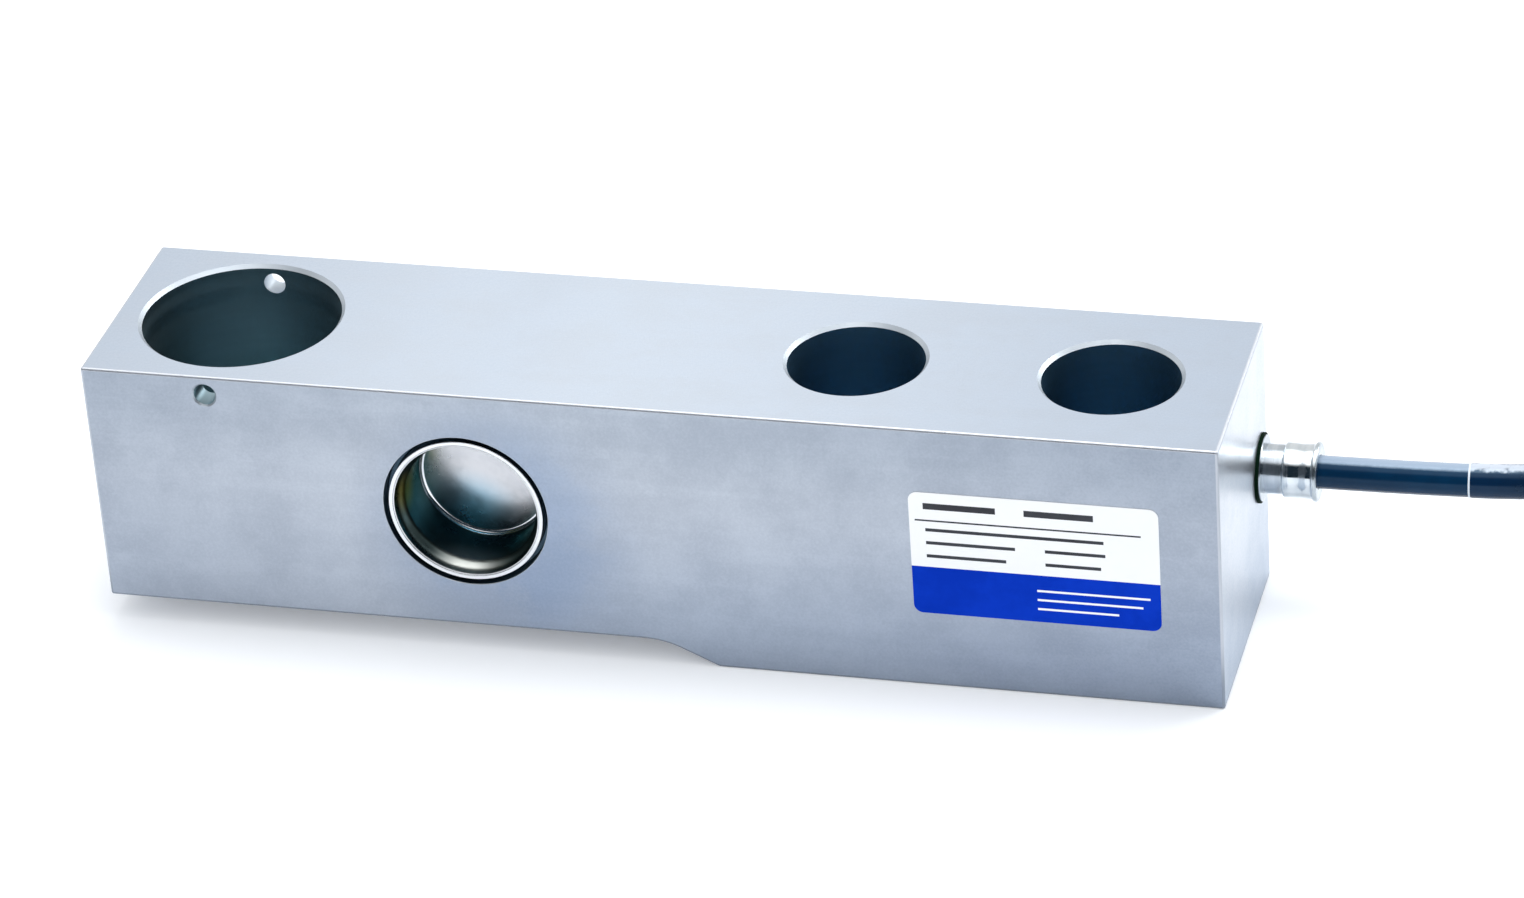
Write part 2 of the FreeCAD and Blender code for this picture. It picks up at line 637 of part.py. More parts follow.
def make_web_sleeve():
    """Insulating sleeve through the web."""
    outside = doc.addObject("Part::Cylinder", "web_sleeve_outside")
    outside.setExpression("Radius", "Sizes.web_hole / 2")
    inside = doc.addObject("Part::Cylinder", "web_sleeve_inside")
    inside.setExpression("Radius", "Sizes.sleeve_bore / 2")
    for cylinder in (outside, inside):
        cylinder.setExpression("Height", "Sizes.web_thickness + Sizes.sleeve_reach * 2")
    sleeve = doc.addObject("Part::Cut", "web_sleeve")
    sleeve.Label = "web_sleeve"
    sleeve.Base, sleeve.Tool = outside, inside
    sleeve.Placement = Placement(Vector(), Rotation(Vector(1, 0, 0), 90))
    sleeve.setExpression("Placement.Base.x", f"{POCKET_X} - Sizes.web_hole_inset")
    sleeve.setExpression("Placement.Base.y", f"{HALF_WEB} + Sizes.sleeve_reach")
    sleeve.setExpression("Placement.Base.z", POCKET_Z)


# Round wires and the cable: straight runs joined by tangent arcs

ARC_SHARE = 0.45
THIN_WIRE_SIDES = 8


def tube_section(radius, centre, along, thin):
    """Circle across the start of a tube, or an eight-sided outline inside it for a thin wire."""
    if not thin:
        return Part.Wire(Part.makeCircle(radius, centre, along))
    turn = Rotation(Vector(0, 0, 1), along)
    angles = [2 * math.pi * side / THIN_WIRE_SIDES for side in range(THIN_WIRE_SIDES + 1)]
    corners = [centre + turn.multVec(Vector(math.cos(a), math.sin(a), 0) * radius) for a in angles]
    return Part.makePolygon(corners)


def bent_tube(points, radius, report=None, largest_bend=math.inf, thin=False):
    """Solid tube along points, each corner an arc as large as its two runs allow."""
    edges, start, length = [], points[0], 0.0
    for before, corner, after in zip(points, points[1:], points[2:]):
        arriving, leaving = corner - before, after - corner
        turn = arriving.getAngle(leaving)
        half_turn = math.tan(turn / 2)
        bend = min(ARC_SHARE * min(arriving.Length, leaving.Length) / half_turn, largest_bend)
        setback = bend * half_turn
        arriving.normalize()
        leaving.normalize()
        first, last = corner - arriving * setback, corner + leaving * setback
        inwards = (leaving - arriving).normalize()
        middle = corner + inwards * (bend / math.cos(turn / 2) - bend)
        edges += [Part.LineSegment(start, first).toShape(), Part.Arc(first, middle, last).toShape()]
        length += (first - start).Length + bend * turn
        start = last
        if report:
            print(f"{report}: bend radius {bend:.1f} mm, turn {math.degrees(turn):.1f} degrees")
    edges.append(Part.LineSegment(start, points[-1]).toShape())
    length += (points[-1] - start).Length
    ring = tube_section(radius, points[0], points[1] - points[0], thin)
    solid = Part.Wire(edges).makePipeShell([ring], True, False)
    expected = Part.Face(ring).Area * length
    if abs(solid.Volume - expected) > 0.01 * expected:
        raise RuntimeError(f"tube volume {solid.Volume:.2f}, expected {expected:.2f}")
    if report:
        print(f"{report}: length {length:.1f} mm, volume {solid.Volume:.0f} of {expected:.0f} mm3")
    return solid


def make_bridge_wires():
    """Two wires that join the front terminals to the rear ones through the sleeve in the web."""
    radius = size("bridge_wire") / 2
    pocket_x, pocket_z = value_of(POCKET_X), value_of(POCKET_Z)
    face = value_of(HALF_WEB)
    dot_y = face + size("terminal_thickness") + size("solder_height") + radius
    hole_x = pocket_x - size("web_hole_inset")
    mouth_y = face + 2 * size("sleeve_reach")
    wires = []
    for index, shift in enumerate((-1, 1)):
        across, rise = dot_place(index, 1)
        z = pocket_z + shift * size("sleeve_bore") / 5
        front = [
            Vector(pocket_x + across, -dot_y, pocket_z + rise),
            Vector(pocket_x + across - 4 * radius, -dot_y - radius, pocket_z + rise + 2 * shift * radius),
            Vector(hole_x - radius, -mouth_y - 5 * radius, z + 10 * radius),
            Vector(hole_x, -mouth_y - 4 * radius, z),
        ]
        rear = [Vector(p.x, -p.y, p.z) for p in reversed(front)]
        wires.append(bent_tube(front + rear, radius, largest_bend=size("core_bend"), thin=True))
    add_feature("bridge_wires", Part.makeCompound(wires))


def make_cable_cores():
    """The cable's four cores: along the channel, down beside the rear cup and over to the board."""
    radius = size("core_wire") / 2
    pocket_x, pocket_z = value_of(POCKET_X), value_of(POCKET_Z)
    axis_y, axis_z = value_of(GLAND_Y), size("gland_height")
    start_x = value_of(HALF_LENGTH) - size("jacket_inset")
    gap_r = (value_of(POCKET_R) + size("cup_floor") / 2 + size("cup_wall")) / 2
    web_y = value_of(HALF_WEB)
    cup_floor_y = web_y + size("cup_clearance")
    board_y = web_y + size("board_thickness") + radius
    under_cup_y = (cup_floor_y + board_y) / 2
    board_end_x = pocket_x + size("board_width") / 2
    spread = radius + size("core_gap")
    lane = 2 * radius + size("core_gap")
    cores = []
    for index in range(4):
        y = axis_y + (spread if index % 2 else -spread)
        z = axis_z + (spread if index < 2 else -spread)
        row_z = (1.5 - index) * lane
        lane_z = axis_z + row_z
        gap_x = pocket_x + math.sqrt(gap_r ** 2 - (lane_z - pocket_z) ** 2)
        board_z = pocket_z - size("board_drop") + row_z
        cores.append(bent_tube([
            Vector(start_x, y, z),
            Vector(gap_x + 8 * lane, y, z),
            Vector(gap_x + 4 * lane, axis_y, lane_z),
            Vector(gap_x, axis_y, lane_z),
            Vector(gap_x, under_cup_y, lane_z),
            Vector(board_end_x + 2 * lane, board_y, board_z),
            Vector(board_end_x - 1.6 * lane, board_y, board_z),
        ], radius, largest_bend=size("core_bend"), thin=True))
    add_feature("cable_cores", Part.makeCompound(cores))


def make_gauge_leads(side):
    """Four fine leads from the tabs of one gauge's grids up to the solder dots."""
    radius = size("gauge_lead") / 2
    across, along = tab_places()
    tilt = math.radians(45)
    foil_y = size("carrier_thickness") + size("foil_thickness") + radius
    dot_y = size("terminal_thickness") + size("solder_height") + radius
    leads = []
    for index in range(4):
        direction = -1 if index < 2 else 1
        offset = across[index % 2]
        tab_x = direction * (size("grid_spacing") / 2 + along * math.sin(tilt)) + offset * math.cos(tilt)
        tab_z = along * math.cos(tilt) - direction * offset * math.sin(tilt)
        dot_x, dot_z = dot_place(index, -1)
        leads.append(bent_tube([
            Vector(tab_x, -foil_y, tab_z),
            Vector((tab_x + dot_x) / 2, -foil_y - 3 * radius, (tab_z + dot_z) / 2),
            Vector(dot_x, -dot_y, dot_z),
        ], radius, largest_bend=size("core_bend"), thin=True))
    feature = add_feature(f"{side}_gauge_leads", Part.makeCompound(leads))
    on_web(feature, side)


def make_board_links():
    """Two wires past the rear gauge, from its upper solder dots to the board."""
    radius = size("bridge_wire") / 2
    pocket_x, pocket_z = value_of(POCKET_X), value_of(POCKET_Z)
    web_y = value_of(HALF_WEB)
    dot_y = web_y + size("terminal_thickness") + size("solder_height") + radius
    board_y = web_y + size("board_thickness") + radius
    board_top = size("board_height") / 2 - size("board_drop")
    links = []
    for order, index in enumerate((DOTS - 2, DOTS - 1)):
        across, rise = dot_place(index, 1)
        aside = size("carrier_width") / 2 + 3 * (order + 1) * radius
        pad = size("board_width") / 2 - (11 - 4 * order) * radius
        links.append(bent_tube([
            Vector(pocket_x + across, dot_y, pocket_z + rise),
            Vector(pocket_x + aside, dot_y, pocket_z + rise - (3 - 2 * order) * radius),
            Vector(pocket_x + aside, board_y, pocket_z + board_top + 5 * radius),
            Vector(pocket_x + pad, board_y, pocket_z + board_top - 2 * radius),
        ], radius, largest_bend=size("core_bend"), thin=True))
    add_feature("board_links", Part.makeCompound(links))


# The cable entry: gland, bush, ferrule and sealing ring, all round the gland's axis

def at_gland(body):
    """Put a turned piece on the gland's axis at the cable end of the beam."""
    placed(body, HALF_LENGTH, GLAND_Y, "Sizes.gland_height")


def make_gland():
    """Gland with a stem in the port, a neck and a spigot for the ferrule."""
    body = new_body("gland_body")
    stem_r, neck_r, spigot_r = "Sizes.port_bore / 2", "Sizes.gland_neck / 2", "Sizes.gland_spigot / 2"
    neck_x = "Sizes.gland_neck_length"
    spigot_x = f"{neck_x} + Sizes.gland_spigot_length"
    floor_x = "Sizes.gland_floor - Sizes.port_depth"
    profile = outline(
        new_sketch(body, "gland_profile", "XZ_Plane"),
        [
            ("-Sizes.port_depth", "Sizes.gland_core_hole / 2"),
            (floor_x, "Sizes.gland_core_hole / 2"),
            (floor_x, "Sizes.gland_bore / 2"),
            (spigot_x, "Sizes.gland_bore / 2"),
            (spigot_x, spigot_r),
            (neck_x, spigot_r),
            (neck_x, neck_r),
            ("0", neck_r),
            ("0", stem_r),
            ("-Sizes.port_depth", stem_r),
        ],
    )
    turned(body, "Revolution", profile, "gland_turned", "H_Axis")
    at_gland(body)


def make_ferrule():
    """Ferrule crimped over the gland's spigot, with two crimped grooves and a rolled lip."""
    body = new_body("crimp_ferrule")
    start, spigot_end = "Sizes.gland_neck_length", "Sizes.gland_neck_length + Sizes.gland_spigot_length"
    finish = f"{start} + Sizes.ferrule_length"
    lip_start = f"{finish} - Sizes.ferrule_lip_length"
    outer_r, lip_r = "Sizes.ferrule / 2", "Sizes.ferrule_lip / 2"
    groove_r = f"{outer_r} - Sizes.crimp_groove"
    groove_half = "Sizes.crimp_groove * 2"
    first, second = f"{start} + Sizes.ferrule_length * 0.28", f"{start} + Sizes.ferrule_length * 0.56"
    lip_cut = "Sizes.ferrule_lip_length / 3"
    profile = outline(
        new_sketch(body, "ferrule_profile", "XZ_Plane"),
        [
            (start, "Sizes.gland_spigot / 2"),
            (spigot_end, "Sizes.gland_spigot / 2"),
            (spigot_end, BUSH_R),
            (finish, BUSH_R),
            (finish, f"{lip_r} - {lip_cut}"),
            (f"{finish} - {lip_cut}", lip_r),
            (f"{lip_start} + {lip_cut}", lip_r),
            (lip_start, outer_r),
            (f"{second} + {groove_half}", outer_r),
            (second, groove_r),
            (f"{second} - {groove_half}", outer_r),
            (f"{first} + {groove_half}", outer_r),
            (first, groove_r),
            (f"{first} - {groove_half}", outer_r),
            (f"{start} + {lip_cut}", outer_r),
            (start, f"{outer_r} - {lip_cut}"),
        ],
    )
    turned(body, "Revolution", profile, "ferrule_turned", "H_Axis")
    at_gland(body)


def make_bush():
    """Rubber bush between the cable and the gland's bore."""
    body = new_body("cable_bush")
    near, far = "-Sizes.jacket_inset", "Sizes.gland_neck_length + Sizes.gland_spigot_length"
    bore_r = "Sizes.gland_bore / 2"
    profile = outline(
        new_sketch(body, "bush_profile", "XZ_Plane"),
        [(near, BUSH_R), (far, BUSH_R), (far, bore_r), (near, bore_r)],
    )
    turned(body, "Revolution", profile, "bush_turned", "H_Axis")
    at_gland(body)


def make_seal_ring():
    """Sealing ring round the gland's neck, against the end of the beam."""
    body = new_body("sealing_ring")
    inner_r, outer_r = "Sizes.gland_neck / 2", "Sizes.seal_ring / 2"
    thick, cut = "Sizes.seal_ring_thickness", "Sizes.seal_ring_chamfer"
    profile = outline(
        new_sketch(body, "seal_ring_profile", "XZ_Plane"),
        [
            ("0", inner_r),
            (thick, inner_r),
            (thick, f"{outer_r} - {cut}"),
            (f"{thick} - {cut}", outer_r),
            ("0", outer_r),
        ],
    )
    turned(body, "Revolution", profile, "seal_ring_turned", "H_Axis")
    at_gland(body)


# The cable, chosen by hand: straight out of the gland, back a little, then up onto the hank

def hank_height():
    """Height of the whole hank."""
    return size("hank_layers") * size("cable")


# Each point of the cable's axis past the gland, as (out from the end face, towards the rear, up or
# down from the gland's axis). The last two lie on the hank's top layer, so their height is the hank's.
CABLE_POINTS = ((21.75, 0.0, 0.0), (46.65, 1.9, 0.05), (63.25, 2.6, None), (74.25, 2.6, None))


def cable_route():
    """Points of the cable's axis from the jacket's cut end to the hank."""
    end_x, axis_y, axis_z = value_of(HALF_LENGTH), value_of(GLAND_Y), size("gland_height")
    hank_z = hank_height() - size("cable") / 2
    route = [Vector(end_x - size("jacket_inset"), axis_y, axis_z)]
    for out, rearwards, rise in CABLE_POINTS:
        z = hank_z if rise is None else axis_z + rise
        route.append(Vector(end_x + out, axis_y + rearwards, z))
    return route


def make_cable():
    """Cable from the gland to the hank, and the shrink sleeve on it."""
    radius = size("cable") / 2
    route = cable_route()
    cable = bent_tube(route, radius, report="cable_lead")
    add_feature("cable_lead", cable)
    left = value_of(HALF_LENGTH) + size("shrink_start")
    reach = 3 * size("cable")
    window = Part.makeBox(
        size("shrink_length"), 2 * reach, 2 * reach,
        Vector(left, value_of(GLAND_Y) - reach, size("gland_height") - reach))
    sleeve = bent_tube(route, radius + size("shrink_wall")).common(window).cut(cable)
    add_feature("shrink_sleeve", sleeve)


def racetrack(sketch, half_run, radius):
    """Closed outline of two straight runs joined by half rounds."""
    left, right = f"-({half_run})", half_run
    return outline(
        sketch,
        [
            (left, f"-({radius})"),
            (right, f"-({radius})"),
            (f"{right} + {radius}", "0"),
            (right, radius),
            (left, radius),
            (f"{left} - ({radius})", "0"),
        ],
        {
            1: (radius, (right, "0")),
            2: (radius, (right, "0")),
            4: (radius, (left, "0")),
            5: (radius, (left, "0")),
        },
    )


def make_hank():
    """Outer shape of the folded cable with its two straight leads, and a notch for the tie."""
    body = new_body("cable_hank")
    half_run, high = "Sizes.hank_run / 2", "Sizes.hank_layers * Sizes.cable"
    inner, depth = "Sizes.hank_gap / 2", "Sizes.hank_columns * Sizes.cable"
    outer = f"{inner} + {depth}"
    sketch = racetrack(new_sketch(body, "hank_outside", "XY_Plane"), half_run, outer)
    block = extruded(body, "Pad", sketch, "hank_block", high)
    volume = volume_must(1, body, block, 0)
    sketch = racetrack(new_sketch(body, "hank_inside", "XY_Plane"), half_run, inner)
    ring = extruded(body, "Pocket", sketch, "hank_ring", f"({high}) * 2", both_ways=True)
    volume = volume_must(-1, body, ring, volume)
    level = [
        f"Edge{number}" for number, edge in enumerate(ring.Shape.Edges, start=1)
        if abs(edge.tangentAt(edge.FirstParameter).z) < 0.5
    ]
    cut = body.newObject("PartDesign::Chamfer", "hank_corners")
    cut.Base = (ring, level)
    cut.setExpression("Size", "Sizes.hank_chamfer")
    volume = volume_must(-1, body, cut, volume)
    last_turn = f"{outer} - {CABLE_R}"
    sketch = circle(
        new_sketch(body, "hank_entry_circle", "YZ_Plane", out=f"-({half_run})"),
        last_turn, f"{high} - {CABLE_R}", "Sizes.cable")
    lead = extruded(body, "Pad", sketch, "hank_entry", "Sizes.hank_lead", flipped=True)
    volume = volume_must(1, body, lead, volume)
    sketch = circle(
        new_sketch(body, "hank_exit_circle", "YZ_Plane", out=half_run), last_turn, CABLE_R, "Sizes.cable")
    lead = extruded(body, "Pad", sketch, "hank_exit", "Sizes.hank_lead")
    volume = volume_must(1, body, lead, volume)
    sketch = rectangle(
        new_sketch(body, "tie_notch_outline", "XZ_Plane", out=inner),
        "Sizes.tie_width", "Sizes.tie_thickness", up="Sizes.tie_thickness / 2")
    notch = extruded(body, "Pocket", sketch, "tie_notch", depth, flipped=True)
    volume_must(-1, body, notch, volume)
    placed_at_hank(body)


def last_turn_reach():
    """Middle of the hank to the axis of its outermost run."""
    return size("hank_gap") / 2 + (size("hank_columns") - 0.5) * size("cable")


def hank_middle():
    """Middle of the hank on the floor, so that its entry meets the end of the cable."""
    end = cable_route()[-1]
    return end.x + size("hank_lead") + size("hank_run") / 2, end.y - last_turn_reach()


def placed_at_hank(body):
    """Put a piece at the hank's middle."""
    body.Placement = Placement(Vector(*hank_middle(), 0), Rotation())


def make_tie():
    """Flat tie round the turns of the hank's front run."""
    body = new_body("hank_tie")
    inner, depth = "Sizes.hank_gap / 2", "Sizes.hank_columns * Sizes.cable"
    high, strap, cut = "Sizes.hank_layers * Sizes.cable", "Sizes.tie_thickness", "Sizes.hank_chamfer"
    outer = f"{inner} + {depth}"

    def ring(name, grow, low):
        """Outline round the hank's section, chamfered as that is and grown outwards by a thickness."""
        left, right, top = f"-({outer}) - {grow}", f"{grow} - {inner}", f"{high} + {grow}"
        leg = f"{cut} + {grow} * (2 - sqrt(2))"
        return outline(
            new_sketch(body, name, "YZ_Plane"),
            [
                (left, low),
                (right, low),
                (right, f"{top} - ({leg})"),
                (f"{right} - ({leg})", top),
                (f"{left} + {leg}", top),
                (left, f"{top} - ({leg})"),
            ],
        )

    outside = ring("tie_outside", strap, "0")
    block = extruded(body, "Pad", outside, "tie_block", "Sizes.tie_width", both_ways=True)
    volume = volume_must(1, body, block, 0)
    inside = ring("tie_inside", "0", strap)
    hollow = extruded(body, "Pocket", inside, "tie_hollow", "Sizes.tie_width * 2", both_ways=True)
    volume_must(-1, body, hollow, volume)
    placed_at_hank(body)


# The stripped end: four insulated cores and the twisted screen, fanned out on the floor

# Each core starts at a corner of a square round the cable's axis, given as (across, up). It ends so
# many millimetres to the side, and reaches this share of the longest core's length.
CORES = {
    "red_core": (-1.0, 1.0, -11.8, 0.96),
    "black_core": (-1.0, -1.0, -6.1, 1.0),
    "screen_tail": (0.0, 0.0, -4.0, 0.84),
    "green_core": (1.0, -1.0, -2.2, 0.97),
    "white_core": (1.0, 1.0, 3.5, 1.0),
}


def core_route(side, level, sideways, reach):
    """Points of one free core, from the jacket's end down to the floor and out to its tip."""
    middle_x, middle_y = hank_middle()
    ring = size("lead_ring") / math.sqrt(2)
    radius = size("lead_core") / 2
    x = middle_x + size("hank_run") / 2 + size("hank_lead")
    y = middle_y + last_turn_reach() + side * ring
    z = size("cable") / 2 + level * ring
    length = size("lead_length") * reach
    return [
        Vector(x, y, z),
        Vector(x + 0.14 * length, y, z),
        Vector(x + 0.42 * length, y + 0.30 * sideways, radius + 0.2),
        Vector(x + 0.72 * length, y + 0.66 * sideways, radius + 0.05),
        Vector(x + length, y + 0.86 * sideways, radius),
    ]


def make_free_cores():
    """One node for each core with its insulation, and one for all the bare tips."""
    radius, copper = size("lead_core") / 2, size("lead_copper") / 2
    tips = []
    for name, shape in CORES.items():
        route = core_route(*shape)
        thickness = size("screen_twist") / 2 if name == "screen_tail" else radius
        add_feature(name, bent_tube(route, thickness, thin=True))
        end, before = route[-1], route[-2]
        outwards = (end - before).normalize()
        tips.append(Part.makeCylinder(copper, size("lead_copper_length"), end, outwards))
    add_feature("tinned_tips", Part.makeCompound(tips))


# The label

def make_label():
    """Film label with round corners on the front face."""
    body = new_body("front_label")
    sketch = rectangle(
        new_sketch(body, "label_outline", "XZ_Plane"), "Sizes.label_width", "Sizes.label_height")
    film = extruded(body, "Pad", sketch, "label_film", "Sizes.label_thickness")
    doc.recompute()
    corners = [
        f"Edge{number}" for number, edge in enumerate(film.Shape.Edges, start=1)
        if abs(edge.tangentAt(edge.FirstParameter).y) > 0.99
    ]
    rounded = body.newObject("PartDesign::Fillet", "label_corners")
    rounded.Base = (film, corners)
    rounded.setExpression("Radius", "Sizes.label_corner")
    placed(
        body,
        f"{HALF_LENGTH} - Sizes.label_end_inset - Sizes.label_width / 2",
        f"-{HALF_WIDTH}",
        f"{TOP} - Sizes.label_top_drop - Sizes.label_height / 2",
    )


# Build and write

NODES = [
    "beam_body", "front_sealing_cup", "rear_sealing_cup",
    "front_gauge_carrier", "rear_gauge_carrier", "front_gauge_grid", "rear_gauge_grid",
    "front_gauge_leads", "rear_gauge_leads",
    "front_solder_terminals", "rear_solder_terminals", "compensation_board", "trim_resistors",
    "web_sleeve", "bridge_wires", "board_links", "cable_cores",
    "gland_body", "crimp_ferrule", "cable_bush", "sealing_ring",
    "cable_lead", "shrink_sleeve", "cable_hank", "hank_tie", *CORES, "tinned_tips", "front_label",
]


def build():
    """Make every piece."""
    make_beam()
    make_cup("front_sealing_cup", f"-{HALF_WIDTH}", 0.0)
    make_cup("rear_sealing_cup", HALF_WIDTH, 180.0)
    for side in SIDES:
        make_carrier(side)
        make_grid(side)
        make_terminals(side)
        make_gauge_leads(side)
    make_board()
    make_chips()
    make_web_sleeve()
    make_bridge_wires()
    make_board_links()
    make_cable_cores()
    make_gland()
    make_ferrule()
    make_bush()
    make_seal_ring()
    make_cable()
    make_hank()
    make_tie()
    make_free_cores()
    make_label()
    doc.recompute()


def write():
    """Check every object and write each piece to its own file."""
    for item in doc.Objects:
        if "Invalid" in item.State or "Error" in item.State:
            raise RuntimeError(f"{item.Label}: {item.State}")
    by_label = {item.Label: item for item in doc.Objects}
    for name in NODES:
        shape = by_label[name].Shape
        if shape.isNull() or not shape.isValid() or not shape.Solids:
            raise RuntimeError(f"{name} has no valid solid")
        shape.exportStep(f"parts/{name}.step")
        print(f"{name}: {len(shape.Solids)} solid(s), {shape.Volume:.2f} mm3")


build()
write()
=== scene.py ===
import logging
import math
from dataclasses import dataclass, field
from enum import Enum
from typing import Iterable, Sequence, Union

import bpy
import numpy as np
from mathutils import Matrix, Vector
from mathutils.geometry import delaunay_2d_cdt


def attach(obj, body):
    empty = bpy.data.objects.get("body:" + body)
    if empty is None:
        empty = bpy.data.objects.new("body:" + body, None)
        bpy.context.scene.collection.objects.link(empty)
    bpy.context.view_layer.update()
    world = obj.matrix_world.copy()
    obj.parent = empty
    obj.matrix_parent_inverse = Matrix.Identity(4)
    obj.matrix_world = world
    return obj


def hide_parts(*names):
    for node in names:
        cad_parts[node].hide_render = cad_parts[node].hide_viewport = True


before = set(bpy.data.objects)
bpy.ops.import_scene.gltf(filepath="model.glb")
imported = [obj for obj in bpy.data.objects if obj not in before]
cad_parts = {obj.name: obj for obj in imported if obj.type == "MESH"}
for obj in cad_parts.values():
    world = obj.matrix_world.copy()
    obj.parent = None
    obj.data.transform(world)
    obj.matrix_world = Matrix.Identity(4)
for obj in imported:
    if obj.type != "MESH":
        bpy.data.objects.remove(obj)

# Shear-beam weighing load cell, dressed in the row frame.
# Blender works in metres. The makers below think in millimetres, and Skin turns them into metres.

log = logging.getLogger("load_cell")
MM = 0.001
BODY = "root"
Socket = bpy.types.NodeSocket
Colour = tuple[float, float, float]
Value = Union[Socket, float, tuple]

# Sizes and places in millimetres that several pieces share

BEAM_LENGTH = 171.5
BEAM_WIDTH = 37.5
LOAD_X = -66.55
POCKET = (-27.65, 23.8)
GLAND = (13.4, 21.85)
HANK_MIDDLE = (213.5, -4.0)
CABLE_END = (267.0, 16.0, 2.5)
ORIGIN = (0.0, 0.0)

# Columns round the gauge pockets, most turned forms, the cable entry and the small holes

FINE = 160
COLUMNS = 128
COARSE = 96
SMALL = 48


class Axis(Enum):
    """Axis that a surface of revolution turns about."""

    X = 0
    Y = 1
    Z = 2


class Finish(Enum):
    """Places of the beam finished differently, as material slots; some differ by painted light or shade."""

    GROUND = 0
    EDGE = 1
    BORED = 2
    MOUTH = 3
    GROOVE = 4
    HOLE = 5
    END = 6
    TOP = 7


# Meshes

class Skin:
    """Patches of one mesh, in millimetres, joined where their points meet."""

    JOIN_GRID = 1e-4

    def __init__(self, name: str) -> None:
        """Start an empty skin.

        Args:
            name: name of the piece.
        """
        self.name = name
        self.points: list[np.ndarray] = []
        self.normals: list[np.ndarray] = []
        self.faces: list[np.ndarray] = []
        self.slots: list[np.ndarray] = []
        self.used = 0

    def add(self, points: np.ndarray, faces: np.ndarray, normals: np.ndarray, slot: int = 0) -> None:
        """Add a patch whose faces are turned to agree with its normals.

        Args:
            points: (n, 3) places.
            faces: (m, 3) or (m, 4) indices into points.
            normals: (n, 3) outward directions at the points.
            slot: material slot of the patch.
        """
        if faces.shape[1] == 3:
            faces = np.column_stack([faces, faces[:, 2]])
        a, b, c, d = (points[faces[:, i]] for i in range(4))
        across = np.cross(c - a, d - b) + np.cross(b - a, c - a)
        agree = np.einsum("ij,ij->i", across, normals[faces].sum(axis=1)) >= 0
        faces = np.where(agree[:, None], faces, faces[:, ::-1])
        self.points.append(points)
        self.normals.append(normals)
        self.faces.append(faces + self.used)
        self.slots.append(np.full(len(faces), slot))
        self.used += len(points)

    def grid(self, points: np.ndarray, normals: np.ndarray, slot: int = 0, closed: bool = False) -> None:
        """Add a grid of points as quads.

        Args:
            points: (rows, columns, 3) places.
            normals: (rows, columns, 3) outward directions.
            slot: material slot of the patch.
            closed: whether the last column joins the first.
        """
        rows, columns = points.shape[:2]
        index = np.arange(rows * columns).reshape(rows, columns)
        if closed:
            index = np.column_stack([index, index[:, :1]])
        quads = np.stack([index[:-1, :-1], index[1:, :-1], index[1:, 1:], index[:-1, 1:]], axis=-1)
        self.add(points.reshape(-1, 3), quads.reshape(-1, 4), normals.reshape(-1, 3), slot)

    def build(self, materials: Sequence[bpy.types.Material]) -> bpy.types.Object:
        """Join the patches into one object at the origin, with each patch's own normals.

        Args:
            materials: materials in the order of the slots.

        Returns:
            The finished object, riding on the body.
        """
        points = np.concatenate(self.points)
        normals = np.concatenate(self.normals)
        faces = np.concatenate(self.faces)
        slots = np.concatenate(self.slots)
        keys = np.round(points / self.JOIN_GRID).astype(np.int64)
        _, first, place = np.unique(keys, axis=0, return_index=True, return_inverse=True)
        place = place.reshape(-1)
        merged = place[faces]
        repeats = merged == np.roll(merged, 1, axis=1)
        sides = 4 - repeats.sum(axis=1)
        keep = sides >= 3
        merged, faces, repeats, slots, sides = (x[keep] for x in (merged, faces, repeats, slots, sides))
        corner_points = merged[~repeats]
        corner_normals = normals[faces[~repeats]]
        starts = np.concatenate([[0], np.cumsum(sides)[:-1]])
        mesh = bpy.data.meshes.new(self.name)
        mesh.vertices.add(len(first))
        mesh.vertices.foreach_set("co", (points[first] * MM).ravel())
        mesh.loops.add(len(corner_points))
        mesh.loops.foreach_set("vertex_index", corner_points)
        mesh.polygons.add(len(starts))
        mesh.polygons.foreach_set("loop_start", starts)
        mesh.polygons.foreach_set("material_index", slots)
        mesh.polygons.foreach_set("use_smooth", np.ones(len(starts), bool))
        mesh.update(calc_edges=True)
        mesh.validate()
        lengths = np.linalg.norm(corner_normals, axis=1, keepdims=True)
        mesh.normals_split_custom_set((corner_normals / np.maximum(lengths, 1e-9)).tolist())
        for material in materials:
            mesh.materials.append(material)
        return mounted(bpy.data.objects.new(self.name, mesh))


def mounted(piece: bpy.types.Object) -> bpy.types.Object:
    """Link a piece to the scene and make it ride on the body.

    Args:
        piece: object whose place is in its data.

    Returns:
        The same object.
    """
    bpy.context.scene.collection.objects.link(piece)
    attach(piece, BODY)
    return piece


def turns_of(columns: int) -> np.ndarray:
    """Angles of evenly spaced columns round an axis."""
    return np.linspace(0.0, 2.0 * math.pi, columns, endpoint=False)


def ring(radius: Union[float, np.ndarray], angles: np.ndarray) -> np.ndarray:
    """Points (radius cos a, radius sin a) at each angle a."""
    return np.stack([radius * np.cos(angles), radius * np.sin(angles)], axis=-1)


def around(axis: Axis, centre: Sequence[float], flat: np.ndarray, along: np.ndarray) -> np.ndarray:
    """Points given across and along an axis, in the row frame.

    Args:
        axis: the axis.
        centre: the axis's two other coordinates, in the order X, Y, Z.
        flat: (..., 2) offsets from the axis.
        along: (...) coordinates along the axis.

    Returns:
        (..., 3) points.
    """
    others = [i for i in range(3) if i != axis.value]
    points = np.zeros(flat.shape[:-1] + (3,))
    points[..., others[0]] = centre[0] + flat[..., 0]
    points[..., others[1]] = centre[1] + flat[..., 1]
    points[..., axis.value] = along
    return points


